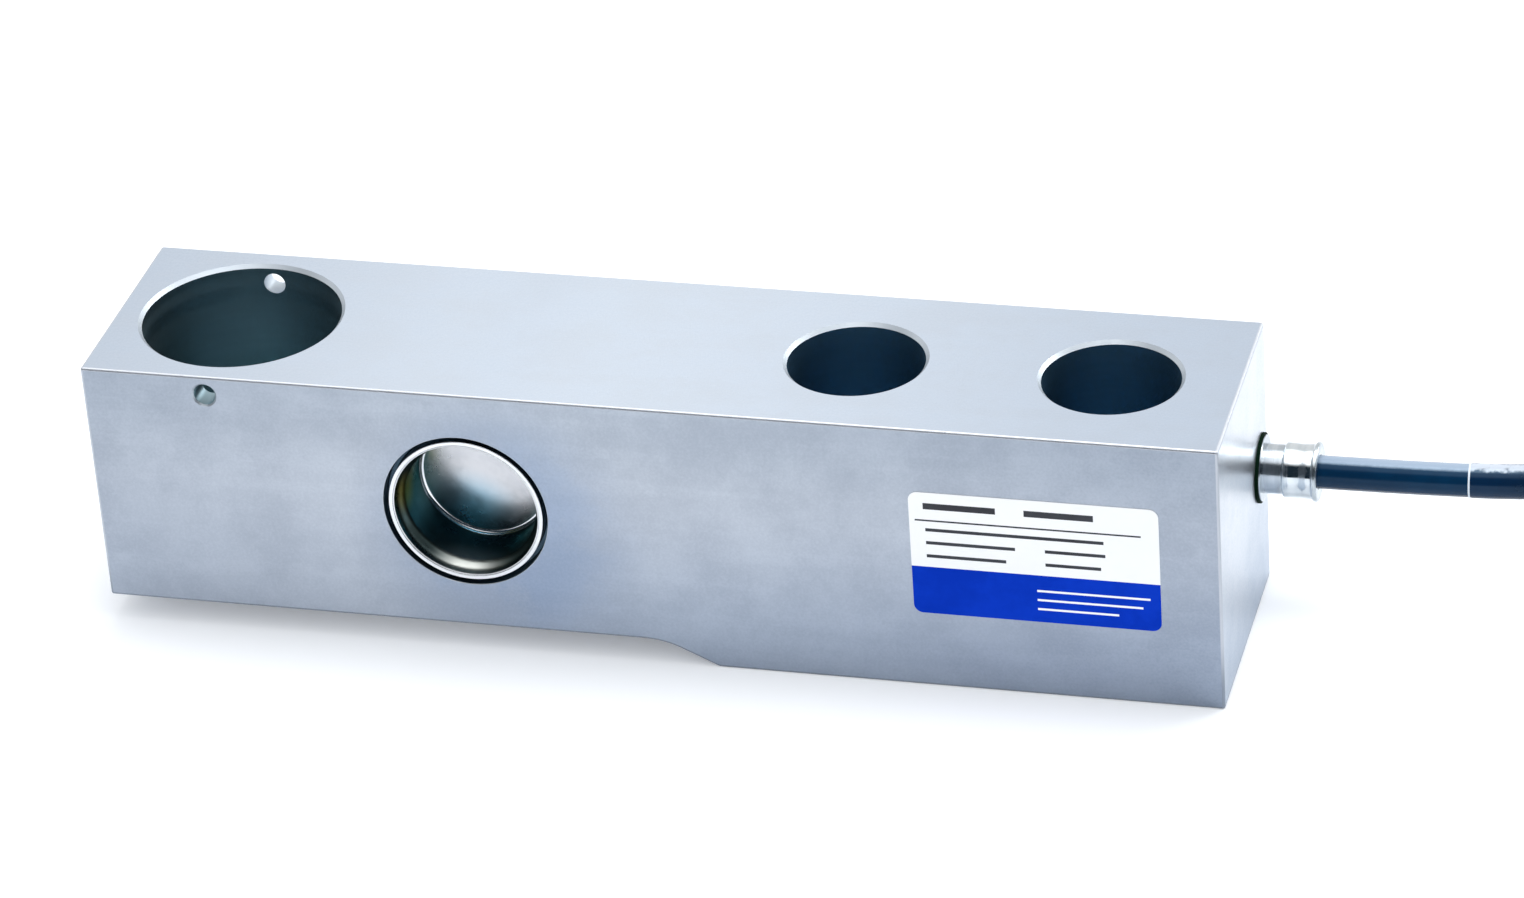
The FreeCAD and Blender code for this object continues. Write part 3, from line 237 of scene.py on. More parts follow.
def arc(centre: Sequence[float], radius: float, start: float, stop: float, steps: int) -> np.ndarray:
    """Points c + r (cos a, sin a) for a from start to stop degrees."""
    return np.asarray(centre) + ring(radius, np.radians(np.linspace(start, stop, steps + 1)))


def straights(slot: int, *points: Sequence[float]) -> list[tuple]:
    """Straight runs (slot, two points) of a profile, from each point to the next."""
    return [(slot, pair) for pair in zip(points, points[1:])]


def lathe(
    skin: Skin,
    runs: Iterable[Sequence],
    axis: Axis,
    centre: Sequence[float],
    columns: int = COLUMNS,
    inward: bool = False,
) -> None:
    """Turn smooth runs of a profile about an axis.

    A run is (slot, points) with points (radius r, place p along the axis). The surface is
    (r cos a, r sin a, p) and its normal is (dp cos a, dp sin a, -dr) for a step (dr, dp) of the
    run, or the opposite of that for a hollow.

    Args:
        skin: mesh that takes the surface.
        runs: the smooth runs, each with its material slot.
        axis: axis of the turning.
        centre: the axis's two other coordinates.
        columns: number of columns round the axis.
        inward: whether the surface is a hollow that faces its own axis.
    """
    angles = turns_of(columns)
    sign = -1.0 if inward else 1.0
    for slot, profile in runs:
        profile = np.asarray(profile, float)
        step = np.gradient(profile, axis=0) if len(profile) > 2 else np.diff(profile, axis=0).repeat(2, 0)
        step /= np.maximum(np.linalg.norm(step, axis=1, keepdims=True), 1e-9)
        flat = ring(profile[:, :1], angles[None, :])
        points = around(axis, centre, flat, np.broadcast_to(profile[:, 1:], flat.shape[:-1]))
        slope = ring(step[:, 1:], angles[None, :])
        lean = np.broadcast_to(-step[:, :1], flat.shape[:-1])
        normals = around(axis, ORIGIN, slope, lean) * sign
        skin.grid(points, normals, slot, closed=True)


def filled(outline: np.ndarray, holes: Sequence[np.ndarray] = ()) -> tuple[np.ndarray, np.ndarray]:
    """Triangles between a closed outline and the holes in it.

    A triangle is kept where a level line from its middle to the right crosses the loops an odd
    number of times.

    Args:
        outline: (n, 2) points of the outer loop.
        holes: (m, 2) points of each inner loop.

    Returns:
        All the points, outline first, and (t, 3) indices of the triangles.
    """
    loops = [outline, *holes]
    points = np.concatenate(loops)
    edges, first = [], 0
    for loop in loops:
        index = np.arange(len(loop))
        edges.append(np.column_stack([index, np.roll(index, -1)]) + first)
        first += len(loop)
    edges = np.concatenate(edges)
    result = delaunay_2d_cdt([Vector(p) for p in points.tolist()], edges.tolist(), [], 0, 1e-7, True)
    source = np.array([ids[0] for ids in result[3]])
    triangles = source[np.array(result[2])]
    middle = points[triangles].mean(axis=1)[:, None]
    begin, stop = points[edges[:, 0]][None], points[edges[:, 1]][None]
    spans = (begin[..., 1] > middle[..., 1]) != (stop[..., 1] > middle[..., 1])
    rise = np.where(spans, stop[..., 1] - begin[..., 1], 1.0)
    meet = begin[..., 0] + (middle[..., 1] - begin[..., 1]) * (stop[..., 0] - begin[..., 0]) / rise
    inside = (spans & (meet > middle[..., 0])).sum(axis=1) % 2 == 1
    return points, triangles[inside]


def flat_face(
    skin: Skin,
    slot: int,
    axis: Axis,
    place: float,
    facing: float,
    outline: np.ndarray,
    holes: Sequence[np.ndarray] = (),
) -> None:
    """Add a plane face with holes.

    Args:
        skin: mesh that takes the face.
        slot: material slot.
        axis: axis that the plane stands across.
        place: the plane's coordinate on that axis.
        facing: +1 or -1, the side of the plane that faces out.
        outline: outer loop in the plane's two coordinates.
        holes: inner loops in the same coordinates.
    """
    flat, triangles = filled(outline, holes)
    points = around(axis, ORIGIN, flat, np.full(len(flat), place))
    normals = np.zeros_like(points)
    normals[:, axis.value] = facing
    skin.add(points, triangles, normals, slot)


def bored_band(
    skin: Skin,
    slot: int,
    axis: Axis,
    centre: Sequence[float],
    radius: float,
    low: float,
    high: float,
    mouths: Sequence[np.ndarray],
    columns: int = COLUMNS,
) -> None:
    """Add a band of a bore's wall that smaller holes open into.

    The band is filled in the plane (radius * angle, place) and rolled up, so its seam lies at the
    angle of half a turn, where no hole may be.

    Args:
        skin: mesh that takes the band.
        slot: material slot.
        axis: the bore's axis.
        centre: the axis's two other coordinates.
        radius: the bore's radius.
        low: lower end of the band along the axis.
        high: upper end of the band.
        mouths: (n, 2) loops of (angle, place) where the smaller holes open.
        columns: number of columns round the bore.
    """
    angles = np.linspace(-math.pi, math.pi, columns + 1)
    floor = np.column_stack([angles, np.full(columns + 1, low)])
    roof = np.column_stack([angles, np.full(columns + 1, high)])[::-1]
    scale = np.array([radius, 1.0])
    flat, triangles = filled(np.concatenate([floor, roof]) * scale, [m * scale for m in mouths])
    angle = flat[:, 0] / radius
    points = around(axis, centre, ring(radius, angle), flat[:, 1])
    normals = around(axis, ORIGIN, -ring(1.0, angle), np.zeros(len(angle)))
    skin.add(points, triangles, normals, slot)


def sweep(
    skin: Skin,
    path: np.ndarray,
    radius: Union[float, np.ndarray],
    sides: int,
    slot: int = 0,
) -> None:
    """Carry a circle along a path that never stands upright, and close both ends with discs.

    With t the path's direction, s = t x Z and u = s x t, the surface is
    p + radius (s cos a + u sin a).

    Args:
        skin: mesh that takes the tube.
        path: (n, 3) points in millimetres.
        radius: one radius, or one for each point.
        sides: number of sides.
        slot: material slot.
    """
    along = np.gradient(path, axis=0)
    along /= np.linalg.norm(along, axis=1, keepdims=True)
    aside = np.cross(along, (0.0, 0.0, 1.0))
    aside /= np.linalg.norm(aside, axis=1, keepdims=True)
    upward = np.cross(aside, along)
    turn = ring(1.0, turns_of(sides))
    outward = aside[:, None] * turn[None, :, :1] + upward[:, None] * turn[None, :, 1:]
    radii = np.broadcast_to(radius, len(path))[:, None, None]
    skin.grid(path[:, None] + outward * radii, outward, slot, closed=True)
    for end, way in ((0, -1.0), (-1, 1.0)):
        rim = path[end] + outward[end] * radii[end]
        disc = np.concatenate([rim, path[end][None]])
        index = np.arange(sides)
        fan = np.column_stack([index, np.roll(index, -1), np.full(sides, sides)])
        skin.add(disc, fan, np.broadcast_to(along[end] * way, disc.shape).copy(), slot)


# Node trees

class Graph:
    """Shorthand for a node tree: adds nodes, sets what feeds them and links them."""

    def __init__(self, tree: bpy.types.NodeTree) -> None:
        """Work on an emptied tree.

        Args:
            tree: the node tree.
        """
        self.tree = tree
        tree.nodes.clear()

    def node(self, kind: str, feeds: dict, **settings: object) -> bpy.types.Node:
        """Add a node.

        Args:
            kind: the node's type without its ShaderNode prefix.
            feeds: input name or index, and the socket or value that feeds it.
            settings: properties of the node.

        Returns:
            The node.
        """
        node = self.tree.nodes.new(kind if kind.startswith("Node") else "ShaderNode" + kind)
        for name, value in settings.items():
            setattr(node, name, value)
        for name, value in feeds.items():
            if isinstance(value, Socket):
                self.tree.links.new(value, node.inputs[name])
            else:
                node.inputs[name].default_value = value
        return node

    def math(self, operation: str, first: Value, second: Value = 0.0) -> Socket:
        """Result of a Math node."""
        return self.node("Math", {0: first, 1: second}, operation=operation).outputs[0]

    def noise(self, vector: Socket, scale: Value, detail: float = 3.0, rough: float = 0.55) -> Socket:
        """Value of a Noise texture."""
        feeds = {"Vector": vector, "Scale": scale, "Detail": detail, "Roughness": rough}
        return self.node("TexNoise", feeds).outputs[0]

    def remap(self, value: Value, low: Value, high: Value, to_low: Value, to_high: Value) -> Socket:
        """A value carried smoothly from one range to another."""
        feeds = {0: value, 1: low, 2: high, 3: to_low, 4: to_high}
        return self.node("MapRange", feeds, interpolation_type="SMOOTHSTEP").outputs[0]

    def weighed(self, first: Socket, second: Socket, share: float) -> Socket:
        """First times 1 - share, plus second times share."""
        kept = self.math("MULTIPLY", first, 1.0 - share)
        return self.math("ADD", kept, self.math("MULTIPLY", second, share))

    def blend(self, share: Value, first: Value, second: Value, mode: str = "MIX") -> Socket:
        """Colour between two colours, or between a colour and its product with the second."""
        first, second = (x if isinstance(x, Socket) else (*x, 1.0) for x in (first, second))
        return self.node(
            "Mix", {0: share, 6: first, 7: second}, data_type="RGBA", blend_type=mode).outputs[2]

    def stretched(self, vector: Socket, scale: Sequence[float], move: Sequence[float] = (0, 0, 0)) -> Socket:
        """A vector moved and then scaled for each axis."""
        moved = self.node("VectorMath", {0: vector, 1: tuple(move)}, operation="SUBTRACT").outputs[0]
        return self.node("VectorMath", {0: moved, 1: tuple(scale)}, operation="MULTIPLY").outputs[0]


class Effects:
    """Shader node groups that several finishes share, each built once."""

    def __init__(self) -> None:
        """Build every group."""
        self.grain = self._grain()
        self.clouds = self._clouds()
        self.rings = self._rings()
        self.nicks = self._nicks()
        self.top_highlight = self._top_highlight()

    @staticmethod
    def _start(name: str, inputs: dict, outputs: Sequence[str]) -> tuple[Graph, bpy.types.Node]:
        """Open a group with named sockets.

        Args:
            name: name of the group.
            inputs: input names with their default, None for a vector.
            outputs: names of the value outputs.

        Returns:
            The group's graph and its input node.
        """
        tree = bpy.data.node_groups.new(name, "ShaderNodeTree")
        for label, default in inputs.items():
            kind = "NodeSocketVector" if default is None else "NodeSocketFloat"
            socket = tree.interface.new_socket(label, in_out="INPUT", socket_type=kind)
            if default is not None:
                socket.default_value = default
        for label in outputs:
            tree.interface.new_socket(label, in_out="OUTPUT", socket_type="NodeSocketFloat")
        graph = Graph(tree)
        return graph, graph.node("NodeGroupInput", {})

    def _grain(self) -> bpy.types.NodeTree:
        """Fine grain and short streaks of a ground face, lengthwise along the vector's X."""
        graph, given = self._start(
            "Ground grain", {"Vector": None, "Scale": 2500.0, "Streaks": 0.5}, ["Height", "Tone"])
        vector, scale, streaks = (given.outputs[i] for i in ("Vector", "Scale", "Streaks"))
        grit = graph.noise(vector, scale, 2.0, 0.6)
        drawn = graph.stretched(vector, (0.07, 1.0, 1.0))
        lines = graph.noise(drawn, graph.math("MULTIPLY", scale, 0.8), 3.0, 0.6)
        patches = graph.noise(drawn, graph.math("MULTIPLY", scale, 0.12), 2.0, 0.5)
        marked = graph.math("MULTIPLY", lines, graph.remap(patches, 0.42, 0.62, 0.25, 1.0))
        height = graph.node("Mix", {0: streaks, 2: grit, 3: marked}).outputs[0]
        tone = graph.remap(height, 0.25, 0.7, 0.0, 1.0)
        graph.node("NodeGroupOutput", {"Height": height, "Tone": tone})
        return graph.tree

    def _clouds(self) -> bpy.types.NodeTree:
        """Soft cloudy stain, such as hands leave on a surface."""
        graph, given = self._start("Handling clouds", {"Vector": None, "Scale": 60.0}, ["Mask"])
        vector, scale = given.outputs["Vector"], given.outputs["Scale"]
        wide = graph.noise(vector, scale, 3.0, 0.55)
        close = graph.noise(vector, graph.math("MULTIPLY", scale, 5.3), 4.0, 0.6)
        mixed = graph.weighed(wide, close, 0.3)
        graph.node("NodeGroupOutput", {"Mask": graph.remap(mixed, 0.36, 0.64, 0.0, 1.0)})
        return graph.tree

    def _rings(self) -> bpy.types.NodeTree:
        """Tool marks round the vector's Z axis: noise of (radius, height) alone, a little unsteady."""
        graph, given = self._start("Lathe rings", {"Vector": None, "Pitch": 0.0002}, ["Height", "Tone"])
        vector = given.outputs["Vector"]
        parts = graph.node("SeparateXYZ", {0: vector}).outputs
        square = graph.math("ADD", graph.math("POWER", parts[0], 2.0), graph.math("POWER", parts[1], 2.0))
        radius = graph.math("SQRT", square)
        place = graph.node("CombineXYZ", {0: radius, 1: parts[2]}).outputs[0]
        scale = graph.math("DIVIDE", 1.0, given.outputs["Pitch"])
        drift = graph.stretched(vector, (0.02, 0.02, 0.02))
        joined = graph.node("VectorMath", {0: place, 1: drift}, operation="ADD").outputs[0]
        height = graph.noise(joined, scale, 2.0, 0.5)
        broad = graph.noise(joined, graph.math("MULTIPLY", scale, 0.13), 2.0, 0.5)
        graph.node("NodeGroupOutput", {"Height": height, "Tone": graph.remap(broad, 0.35, 0.65, 0.0, 1.0)})
        return graph.tree

    def _nicks(self) -> bpy.types.NodeTree:
        """Sparse small nicks and scuffs."""
        graph, given = self._start("Nicks", {"Vector": None, "Scale": 900.0, "Amount": 0.3}, ["Mask"])
        vector = given.outputs["Vector"]
        spots = graph.noise(vector, given.outputs["Scale"], 4.0, 0.7)
        level = graph.remap(given.outputs["Amount"], 0.0, 1.0, 0.75, 0.45)
        top = graph.math("ADD", level, 0.06)
        graph.node("NodeGroupOutput", {"Mask": graph.remap(spots, level, top, 0.0, 1.0)})
        return graph.tree

    def _top_highlight(self) -> bpy.types.NodeTree:
        """Painted highlight on what faces up, from one upward share of the normal to another."""
        graph, given = self._start(
            "Settled bloom", {"Vector": None, "Normal": None, "From": 0.8, "Full": 0.9, "Ragged": 0.1},
            ["Mask"])
        up = graph.node("SeparateXYZ", {0: given.outputs["Normal"]}).outputs[2]
        torn = graph.math("SUBTRACT", graph.noise(given.outputs["Vector"], 700.0, 3.0, 0.6), 0.5)
        level = graph.math("ADD", up, graph.math("MULTIPLY", torn, given.outputs["Ragged"]))
        mask = graph.remap(level, given.outputs["From"], given.outputs["Full"], 0.0, 1.0)
        graph.node("NodeGroupOutput", {"Mask": mask})
        return graph.tree


@dataclass(frozen=True)
class Surface:
    """Constant values of a finish that go straight to the shader's sockets."""

    metallic: float = 0.0
    ior: float = 1.5
    specular: float = 0.5
    coat: float = 0.0
    coat_roughness: float = 0.1
    tint: Colour = (1.0, 1.0, 1.0)


METAL = Surface(metallic=1.0)
PLASTIC = Surface(specular=0.4)


class Dresser:
    """Makes the materials of the load cell."""

    def __init__(self) -> None:
        """Build the shared effects."""
        self.effects = Effects()

    @staticmethod
    def material(name: str) -> tuple[bpy.types.Material, Graph, Socket]:
        """Open a new material.

        Args:
            name: name of the finish.

        Returns:
            The material, its graph and its Object coordinates.
        """
        material = bpy.data.materials.new(name)
        material.use_nodes = True
        graph = Graph(material.node_tree)
        return material, graph, graph.node("TexCoord", {}).outputs["Object"]

    @staticmethod
    def shade(
        graph: Graph,
        surface: Surface,
        colour: Value,
        roughness: Value,
        height: Union[Socket, None] = None,
        depth: float = 0.0,
    ) -> None:
        """Close a material with its Principled shader.

        Args:
            graph: the material's graph.
            surface: constant values of the finish.
            colour: base colour.
            roughness: roughness.
            height: height of the surface, from 0 to 1.
            depth: depth in metres that the height stands for.
        """
        feeds = {
            "Base Color": colour if isinstance(colour, Socket) else (*colour, 1.0),
            "Roughness": roughness,
            "Metallic": surface.metallic,
            "IOR": surface.ior,
            "Specular IOR Level": surface.specular,
            "Coat Weight": surface.coat,
            "Coat Roughness": surface.coat_roughness,
            "Specular Tint": (*surface.tint, 1.0),
        }
        if height is not None:
            bump = graph.node("Bump", {"Height": height, "Distance": depth, "Strength": 1.0})
            feeds["Normal"] = bump.outputs[0]
        shader = graph.node("BsdfPrincipled", feeds)
        graph.node("OutputMaterial", {"Surface": shader.outputs[0]})

    @staticmethod
    def effect(graph: Graph, group: bpy.types.NodeTree, **values: Value) -> bpy.types.Node:
        """Place one of the shared effects in a material."""
        return graph.node("Group", values, node_tree=group)


@dataclass(frozen=True)
class GroundSteel:
    """Fine-ground stainless faces: sandy grain and a faint cloudy stain.

    The faces are darker towards the foot and both ends, painted shade, and towards the upper edge.
    Near the welded pocket the steel is tinted by the heat, with painted shade beside the cup.
    """

    name: str = "ground_steel"
    light: Colour = (0.60, 0.64, 0.70)
    shade: Colour = (0.505, 0.545, 0.61)
    smooth: float = 0.36
    rough: float = 0.46
    scale: float = 2600.0
    streaks: float = 0.25
    depth: float = 1.2e-5
    # Painted shade: darker towards the foot, more so towards the cable end.
    foot: Colour = (0.76, 0.81, 0.88)
    foot_height: float = 0.034
    foot_from: tuple[float, float] = (-0.050, 0.000)
    upper: Colour = (0.84, 0.86, 0.88)
    upper_from: tuple[float, float] = (0.024, 0.042)
    # Heat tint round the pocket, with painted shade beside the cup.
    tint: Colour = (0.66, 0.73, 0.84)
    pocket: tuple[float, float, float] = (-0.0228, 0.0, 0.0208)
    pocket_reach: tuple[float, float] = (0.010, 0.025)
    # Painted shade: darker towards both ends.
    end_shade: Colour = (0.76, 0.78, 0.81)
    end_shade_from: tuple[float, float] = (-0.012, 0.100)
    scuff: Colour = (0.34, 0.38, 0.44)
    scuff_share: float = 0.35
    scuff_dull: float = 0.12
    nick_scale: float = 520.0
    nick_amount: float = 0.16
    cloud: float = 95.0
    cloud_share: float = 0.45
    foot_start: float = 0.45
    tint_and_shade_gaps: float = 0.55

    def make(self, dresser: Dresser) -> bpy.types.Material:
        """Build the material."""
        material, graph, place = dresser.material(self.name)
        grain = dresser.effect(
            graph, dresser.effects.grain, Vector=place, Scale=self.scale, Streaks=self.streaks)
        clouds = dresser.effect(graph, dresser.effects.clouds, Vector=place, Scale=self.cloud)
        nicks = dresser.effect(
            graph, dresser.effects.nicks, Vector=place, Scale=self.nick_scale, Amount=self.nick_amount)
        share = graph.weighed(grain.outputs["Tone"], clouds.outputs["Mask"], self.cloud_share)
        colour = graph.blend(share, self.shade, self.light)
        colour = self._shade_and_tint(graph, place, clouds.outputs["Mask"], colour)
        scuffs = graph.math("MULTIPLY", nicks.outputs["Mask"], self.scuff_share)
        colour = graph.blend(scuffs, colour, self.scuff)
        roughness = graph.remap(share, 0.0, 1.0, self.rough, self.smooth)
        dull = graph.math("MULTIPLY", nicks.outputs["Mask"], self.scuff_dull)
        dresser.shade(
            graph, METAL, colour, graph.math("ADD", roughness, dull),
            grain.outputs["Height"], self.depth)
        return material

    def _shade_and_tint(self, graph: Graph, place: Socket, clouds: Socket, colour: Socket) -> Socket:
        """Paint shade towards the foot and both ends, darken the upper edge, and tint round the pocket.

        Args:
            graph: the material's graph.
            place: Object coordinates.
            clouds: mask of the cloudy stain, which breaks up the edge of the tint round the pocket.
            colour: colour so far.

        Returns:
            The colour with its painted shade and tint.
        """
        along, _, height = graph.node("SeparateXYZ", {0: place}).outputs
        middle, end = self.end_shade_from
        away = graph.math("ABSOLUTE", graph.math("SUBTRACT", along, middle))
        flat = graph.stretched(place, (1.0, 0.0, 1.0), self.pocket)
        reach = graph.node("VectorMath", {0: flat}, operation="LENGTH").outputs["Value"]
        near = graph.remap(reach, *self.pocket_reach, 1.0, 0.0)
        low = graph.remap(height, 0.0, self.foot_height, 1.0, 0.0)
        towards_cable = graph.remap(along, *self.foot_from, self.foot_start, 1.0)
        broken = graph.remap(clouds, 0.0, 1.0, self.tint_and_shade_gaps, 1.0)
        # Painted shade at the foot and both ends; darker upper edge; heat tint and painted shade by the cup
        marks = (
            (graph.math("MULTIPLY", low, towards_cable), self.foot),
            (graph.remap(height, *self.upper_from, 0.0, 1.0), self.upper),
            (graph.remap(away, 0.0, end - middle, 0.0, 1.0), self.end_shade),
            (graph.math("MULTIPLY", near, broken), self.tint))
        for share, tone in marks:
            colour = graph.blend(share, colour, tone, "MULTIPLY")
        return colour


@dataclass(frozen=True)
class HonedHole:
    """Bolt-hole wall darkened by painted shade: smooth, with fine marks round it that depend on height
    alone.
    """

    name: str = "honed_hole"
    # Dark bluish base: painted shade in the bolt holes.
    light: Colour = (0.22, 0.42, 0.57)
    shade: Colour = (0.19, 0.37, 0.51)
    smooth: float = 0.32
    rough: float = 0.37
    round_share: float = 0.02
    mark_scale: float = 3600.0
    stain_scale: float = 260.0
    stain_from: tuple[float, float] = (0.35, 0.65)
    depth: float = 3e-6

    def make(self, dresser: Dresser) -> bpy.types.Material:
        """Build the material."""
        material, graph, place = dresser.material(self.name)
        level = graph.stretched(place, (self.round_share, self.round_share, 1.0))
        marks = graph.noise(level, self.mark_scale, 2.0, 0.5)
        stain = graph.noise(level, self.stain_scale, 2.0, 0.5)
        colour = graph.blend(graph.remap(stain, *self.stain_from, 0.0, 1.0), self.shade, self.light)
        roughness = graph.remap(stain, *self.stain_from, self.rough, self.smooth)
        dresser.shade(graph, METAL, colour, roughness, marks, self.depth)
        return material


@dataclass(frozen=True)
class BrokenEdge:
    """Broken outer edges: burnished, with tiny nicks, and darker along the foot, painted shade."""

    name: str = "broken_edge"
    light: Colour = (0.58, 0.61, 0.66)
    nick: Colour = (0.36, 0.40, 0.46)
    foot_shade: Colour = (0.30, 0.34, 0.40)
    foot_shade_height: tuple[float, float] = (0.003, 0.012)
    smooth: float = 0.50
    rough: float = 0.62
    nick_scale: float = 1300.0
    nick_amount: float = 0.35
    nick_share: float = 0.7
    grain_scale: float = 3000.0
    streaks: float = 0.3
    depth: float = 1.5e-5

    def make(self, dresser: Dresser) -> bpy.types.Material:
        """Build the material."""
        material, graph, place = dresser.material(self.name)
        nicks = dresser.effect(
            graph, dresser.effects.nicks, Vector=place, Scale=self.nick_scale, Amount=self.nick_amount)
        grain = dresser.effect(
            graph, dresser.effects.grain, Vector=place, Scale=self.grain_scale, Streaks=self.streaks)
        mask = nicks.outputs["Mask"]
        colour = graph.blend(graph.math("MULTIPLY", mask, self.nick_share), self.light, self.nick)
        level = graph.node("SeparateXYZ", {0: place}).outputs[2]
        # Painted shade: the edges darken towards the foot.
        colour = graph.blend(graph.remap(level, *self.foot_shade_height, 1.0, 0.0), colour, self.foot_shade)
        roughness = graph.remap(mask, 0.0, 1.0, self.smooth, self.rough)
        height = graph.math("SUBTRACT", grain.outputs["Height"], mask)
        dresser.shade(graph, METAL, colour, roughness, height, self.depth)
        return material


@dataclass(frozen=True)
class TurnedSteel:
    """Turned or bored steel with tool marks round one axis.

    Each spot is a place and a reach in millimetres, and a colour that the finish passes to softly
    near the place. Order gives the coordinates that lie across and along each axis.
    """

    name: str
    light: Colour
    shade: Colour
    centre: tuple[float, float, float]
    axis: Axis
    smooth: float = 0.22
    rough: float = 0.36
    pitch: float = 0.00022
    depth: float = 6e-6
    stain: float = 0.4
    spots: tuple = ()
    sheen: Colour = (1.0, 1.0, 1.0)
    cloud: float = 180.0
    ORDER = {Axis.X: (1, 2, 0), Axis.Y: (0, 2, 1), Axis.Z: (0, 1, 2)}

    def make(self, dresser: Dresser) -> bpy.types.Material:
        """Build the material, with the tool marks turned to the finish's own axis."""
        material, graph, place = dresser.material(self.name)
        moved = graph.stretched(place, (1.0, 1.0, 1.0), [c * MM for c in self.centre])
        parts = graph.node("SeparateXYZ", {0: moved}).outputs
        turned = (parts[i] for i in self.ORDER[self.axis])
        own = graph.node("CombineXYZ", dict(enumerate(turned))).outputs[0]
        rings = dresser.effect(graph, dresser.effects.rings, Vector=own, Pitch=self.pitch)
        clouds = dresser.effect(graph, dresser.effects.clouds, Vector=place, Scale=self.cloud)
        share = graph.weighed(rings.outputs["Tone"], clouds.outputs["Mask"], self.stain)
        colour = graph.blend(share, self.shade, self.light)
        for middle, reach, tone in self.spots:
            feeds = {0: place, 1: tuple(c * MM for c in middle)}
            away = graph.node("VectorMath", feeds, operation="DISTANCE").outputs["Value"]
            colour = graph.blend(graph.remap(away, 0.0, reach * MM, 1.0, 0.0), colour, tone)
        roughness = graph.remap(share, 0.0, 1.0, self.rough, self.smooth)
        dresser.shade(
            graph, Surface(metallic=1.0, tint=self.sheen), colour, roughness, rings.outputs["Height"],
            self.depth)
        return material


@dataclass(frozen=True)
class Moulded:
    """Plastic, rubber, film, laminate or ceramic with a fine texture and a little colour drift."""

    name: str
    light: Colour
    shade: Colour
    smooth: float = 0.35
    rough: float = 0.5
    grain: float = 1800.0
    depth: float = 4e-6
    cloud: float = 90.0
    surface: Surface = field(default_factory=Surface)
    # Colour of a painted highlight along what faces up.
    top_highlight: Union[Colour, None] = None
    top_highlight_from: tuple[float, float, float] = (0.80, 0.92, 0.08)

    def make(self, dresser: Dresser) -> bpy.types.Material:
        """Build the material. A finish with a top highlight has a painted highlight on what faces up."""
        material, graph, place = dresser.material(self.name)
        clouds = dresser.effect(graph, dresser.effects.clouds, Vector=place, Scale=self.cloud)
        grain = dresser.effect(graph, dresser.effects.grain, Vector=place, Scale=self.grain, Streaks=0.0)
        mask = clouds.outputs["Mask"]
        colour = graph.blend(mask, self.shade, self.light)
        if self.top_highlight:
            normal = graph.node("NewGeometry", {}).outputs["Normal"]
            low, full, ragged = self.top_highlight_from
            # Painted highlight on the upward side.
            settled = dresser.effect(
                graph, dresser.effects.top_highlight, Vector=place, Normal=normal, From=low, Full=full,
                Ragged=ragged)
            colour = graph.blend(settled.outputs["Mask"], colour, self.top_highlight)
        roughness = graph.remap(mask, 0.0, 1.0, self.rough, self.smooth)
        dresser.shade(graph, self.surface, colour, roughness, grain.outputs["Height"], self.depth)
        return material


# The cable and what is on it

@dataclass
class Cable:
    """Cable from the gland to the hank beyond the beam's end, and its cut end."""

    diameter: float = 5.0
    exit: tuple[float, float, float] = (94.65, 13.4, 21.85)
    points: tuple = (
        (82.75, 13.4, 21.85), (107.5, 13.4, 21.85), (132.4, 15.3, 21.9), (149.0, 16.0, 27.5),
        (160.0, 16.0, 27.5))
    middle: tuple[float, float] = HANK_MIDDLE
    run: float = 75.0
    outer_turn: float = 20.0
    top_layer: float = 27.5
    end: tuple[float, float, float] = CABLE_END
    length: float = 2900.0

    def hank(self) -> np.ndarray:
        """Control points of the hank's turns, 28 a turn, wound clockwise seen from above.

        A turn has six points along each straight run and eight round each end. An end's point
        stands at the radius r / cos(pi / 16), so that the curve touches the half round of radius r.
        A crossover moves the cable a diameter in or out, and a step takes it down a layer. Both are
        spread over the points k - 1 to k + 1, and each layer's come two points before the last's.

        Returns:
            (n, 3) points.
        """
        along, bend, last = 6, 8, 285
        turn = 2 * (along + bend)
        inwards, outwards = (24, 128, 232), (76, 180, 259)
        downwards = (50, 102, 154, 206, 258)
        k = np.arange(last + 1)

        def passed(places: Sequence[int]) -> np.ndarray:
            """How many of these moves lie behind each point."""
            return np.clip((k[:, None] - np.array(places) + 1) / 2.0, 0.0, 1.0).sum(axis=1)

        radius = self.outer_turn + self.diameter * (passed(outwards) - passed(inwards))
        height = self.top_layer - self.diameter * passed(downwards)
        place = k % turn
        half = place % (along + bend)
        way = np.where(place < along + bend, 1.0, -1.0)
        straight = np.column_stack([(half + 0.5) / along * self.run - self.run / 2, radius])
        angle = math.pi / 2 - (half - along + 0.5) * math.pi / bend
        curved = ring(radius / math.cos(math.pi / (2 * bend)), angle) + (self.run / 2, 0.0)
        flat = np.where((half < along)[:, None], straight, curved) * way[:, None]
        return np.column_stack([flat + np.array(self.middle), height])

    def make(self, jacket: bpy.types.Material) -> bpy.types.Object:
        """Make the cable as one NURBS cord.

        Args:
            jacket: material of the jacket.

        Returns:
            The cord.
        """
        route = np.concatenate([np.array(self.points), self.hank(), [self.end]])
        return cord_curve("cable", route, self.diameter / 2, jacket, resolution=6)


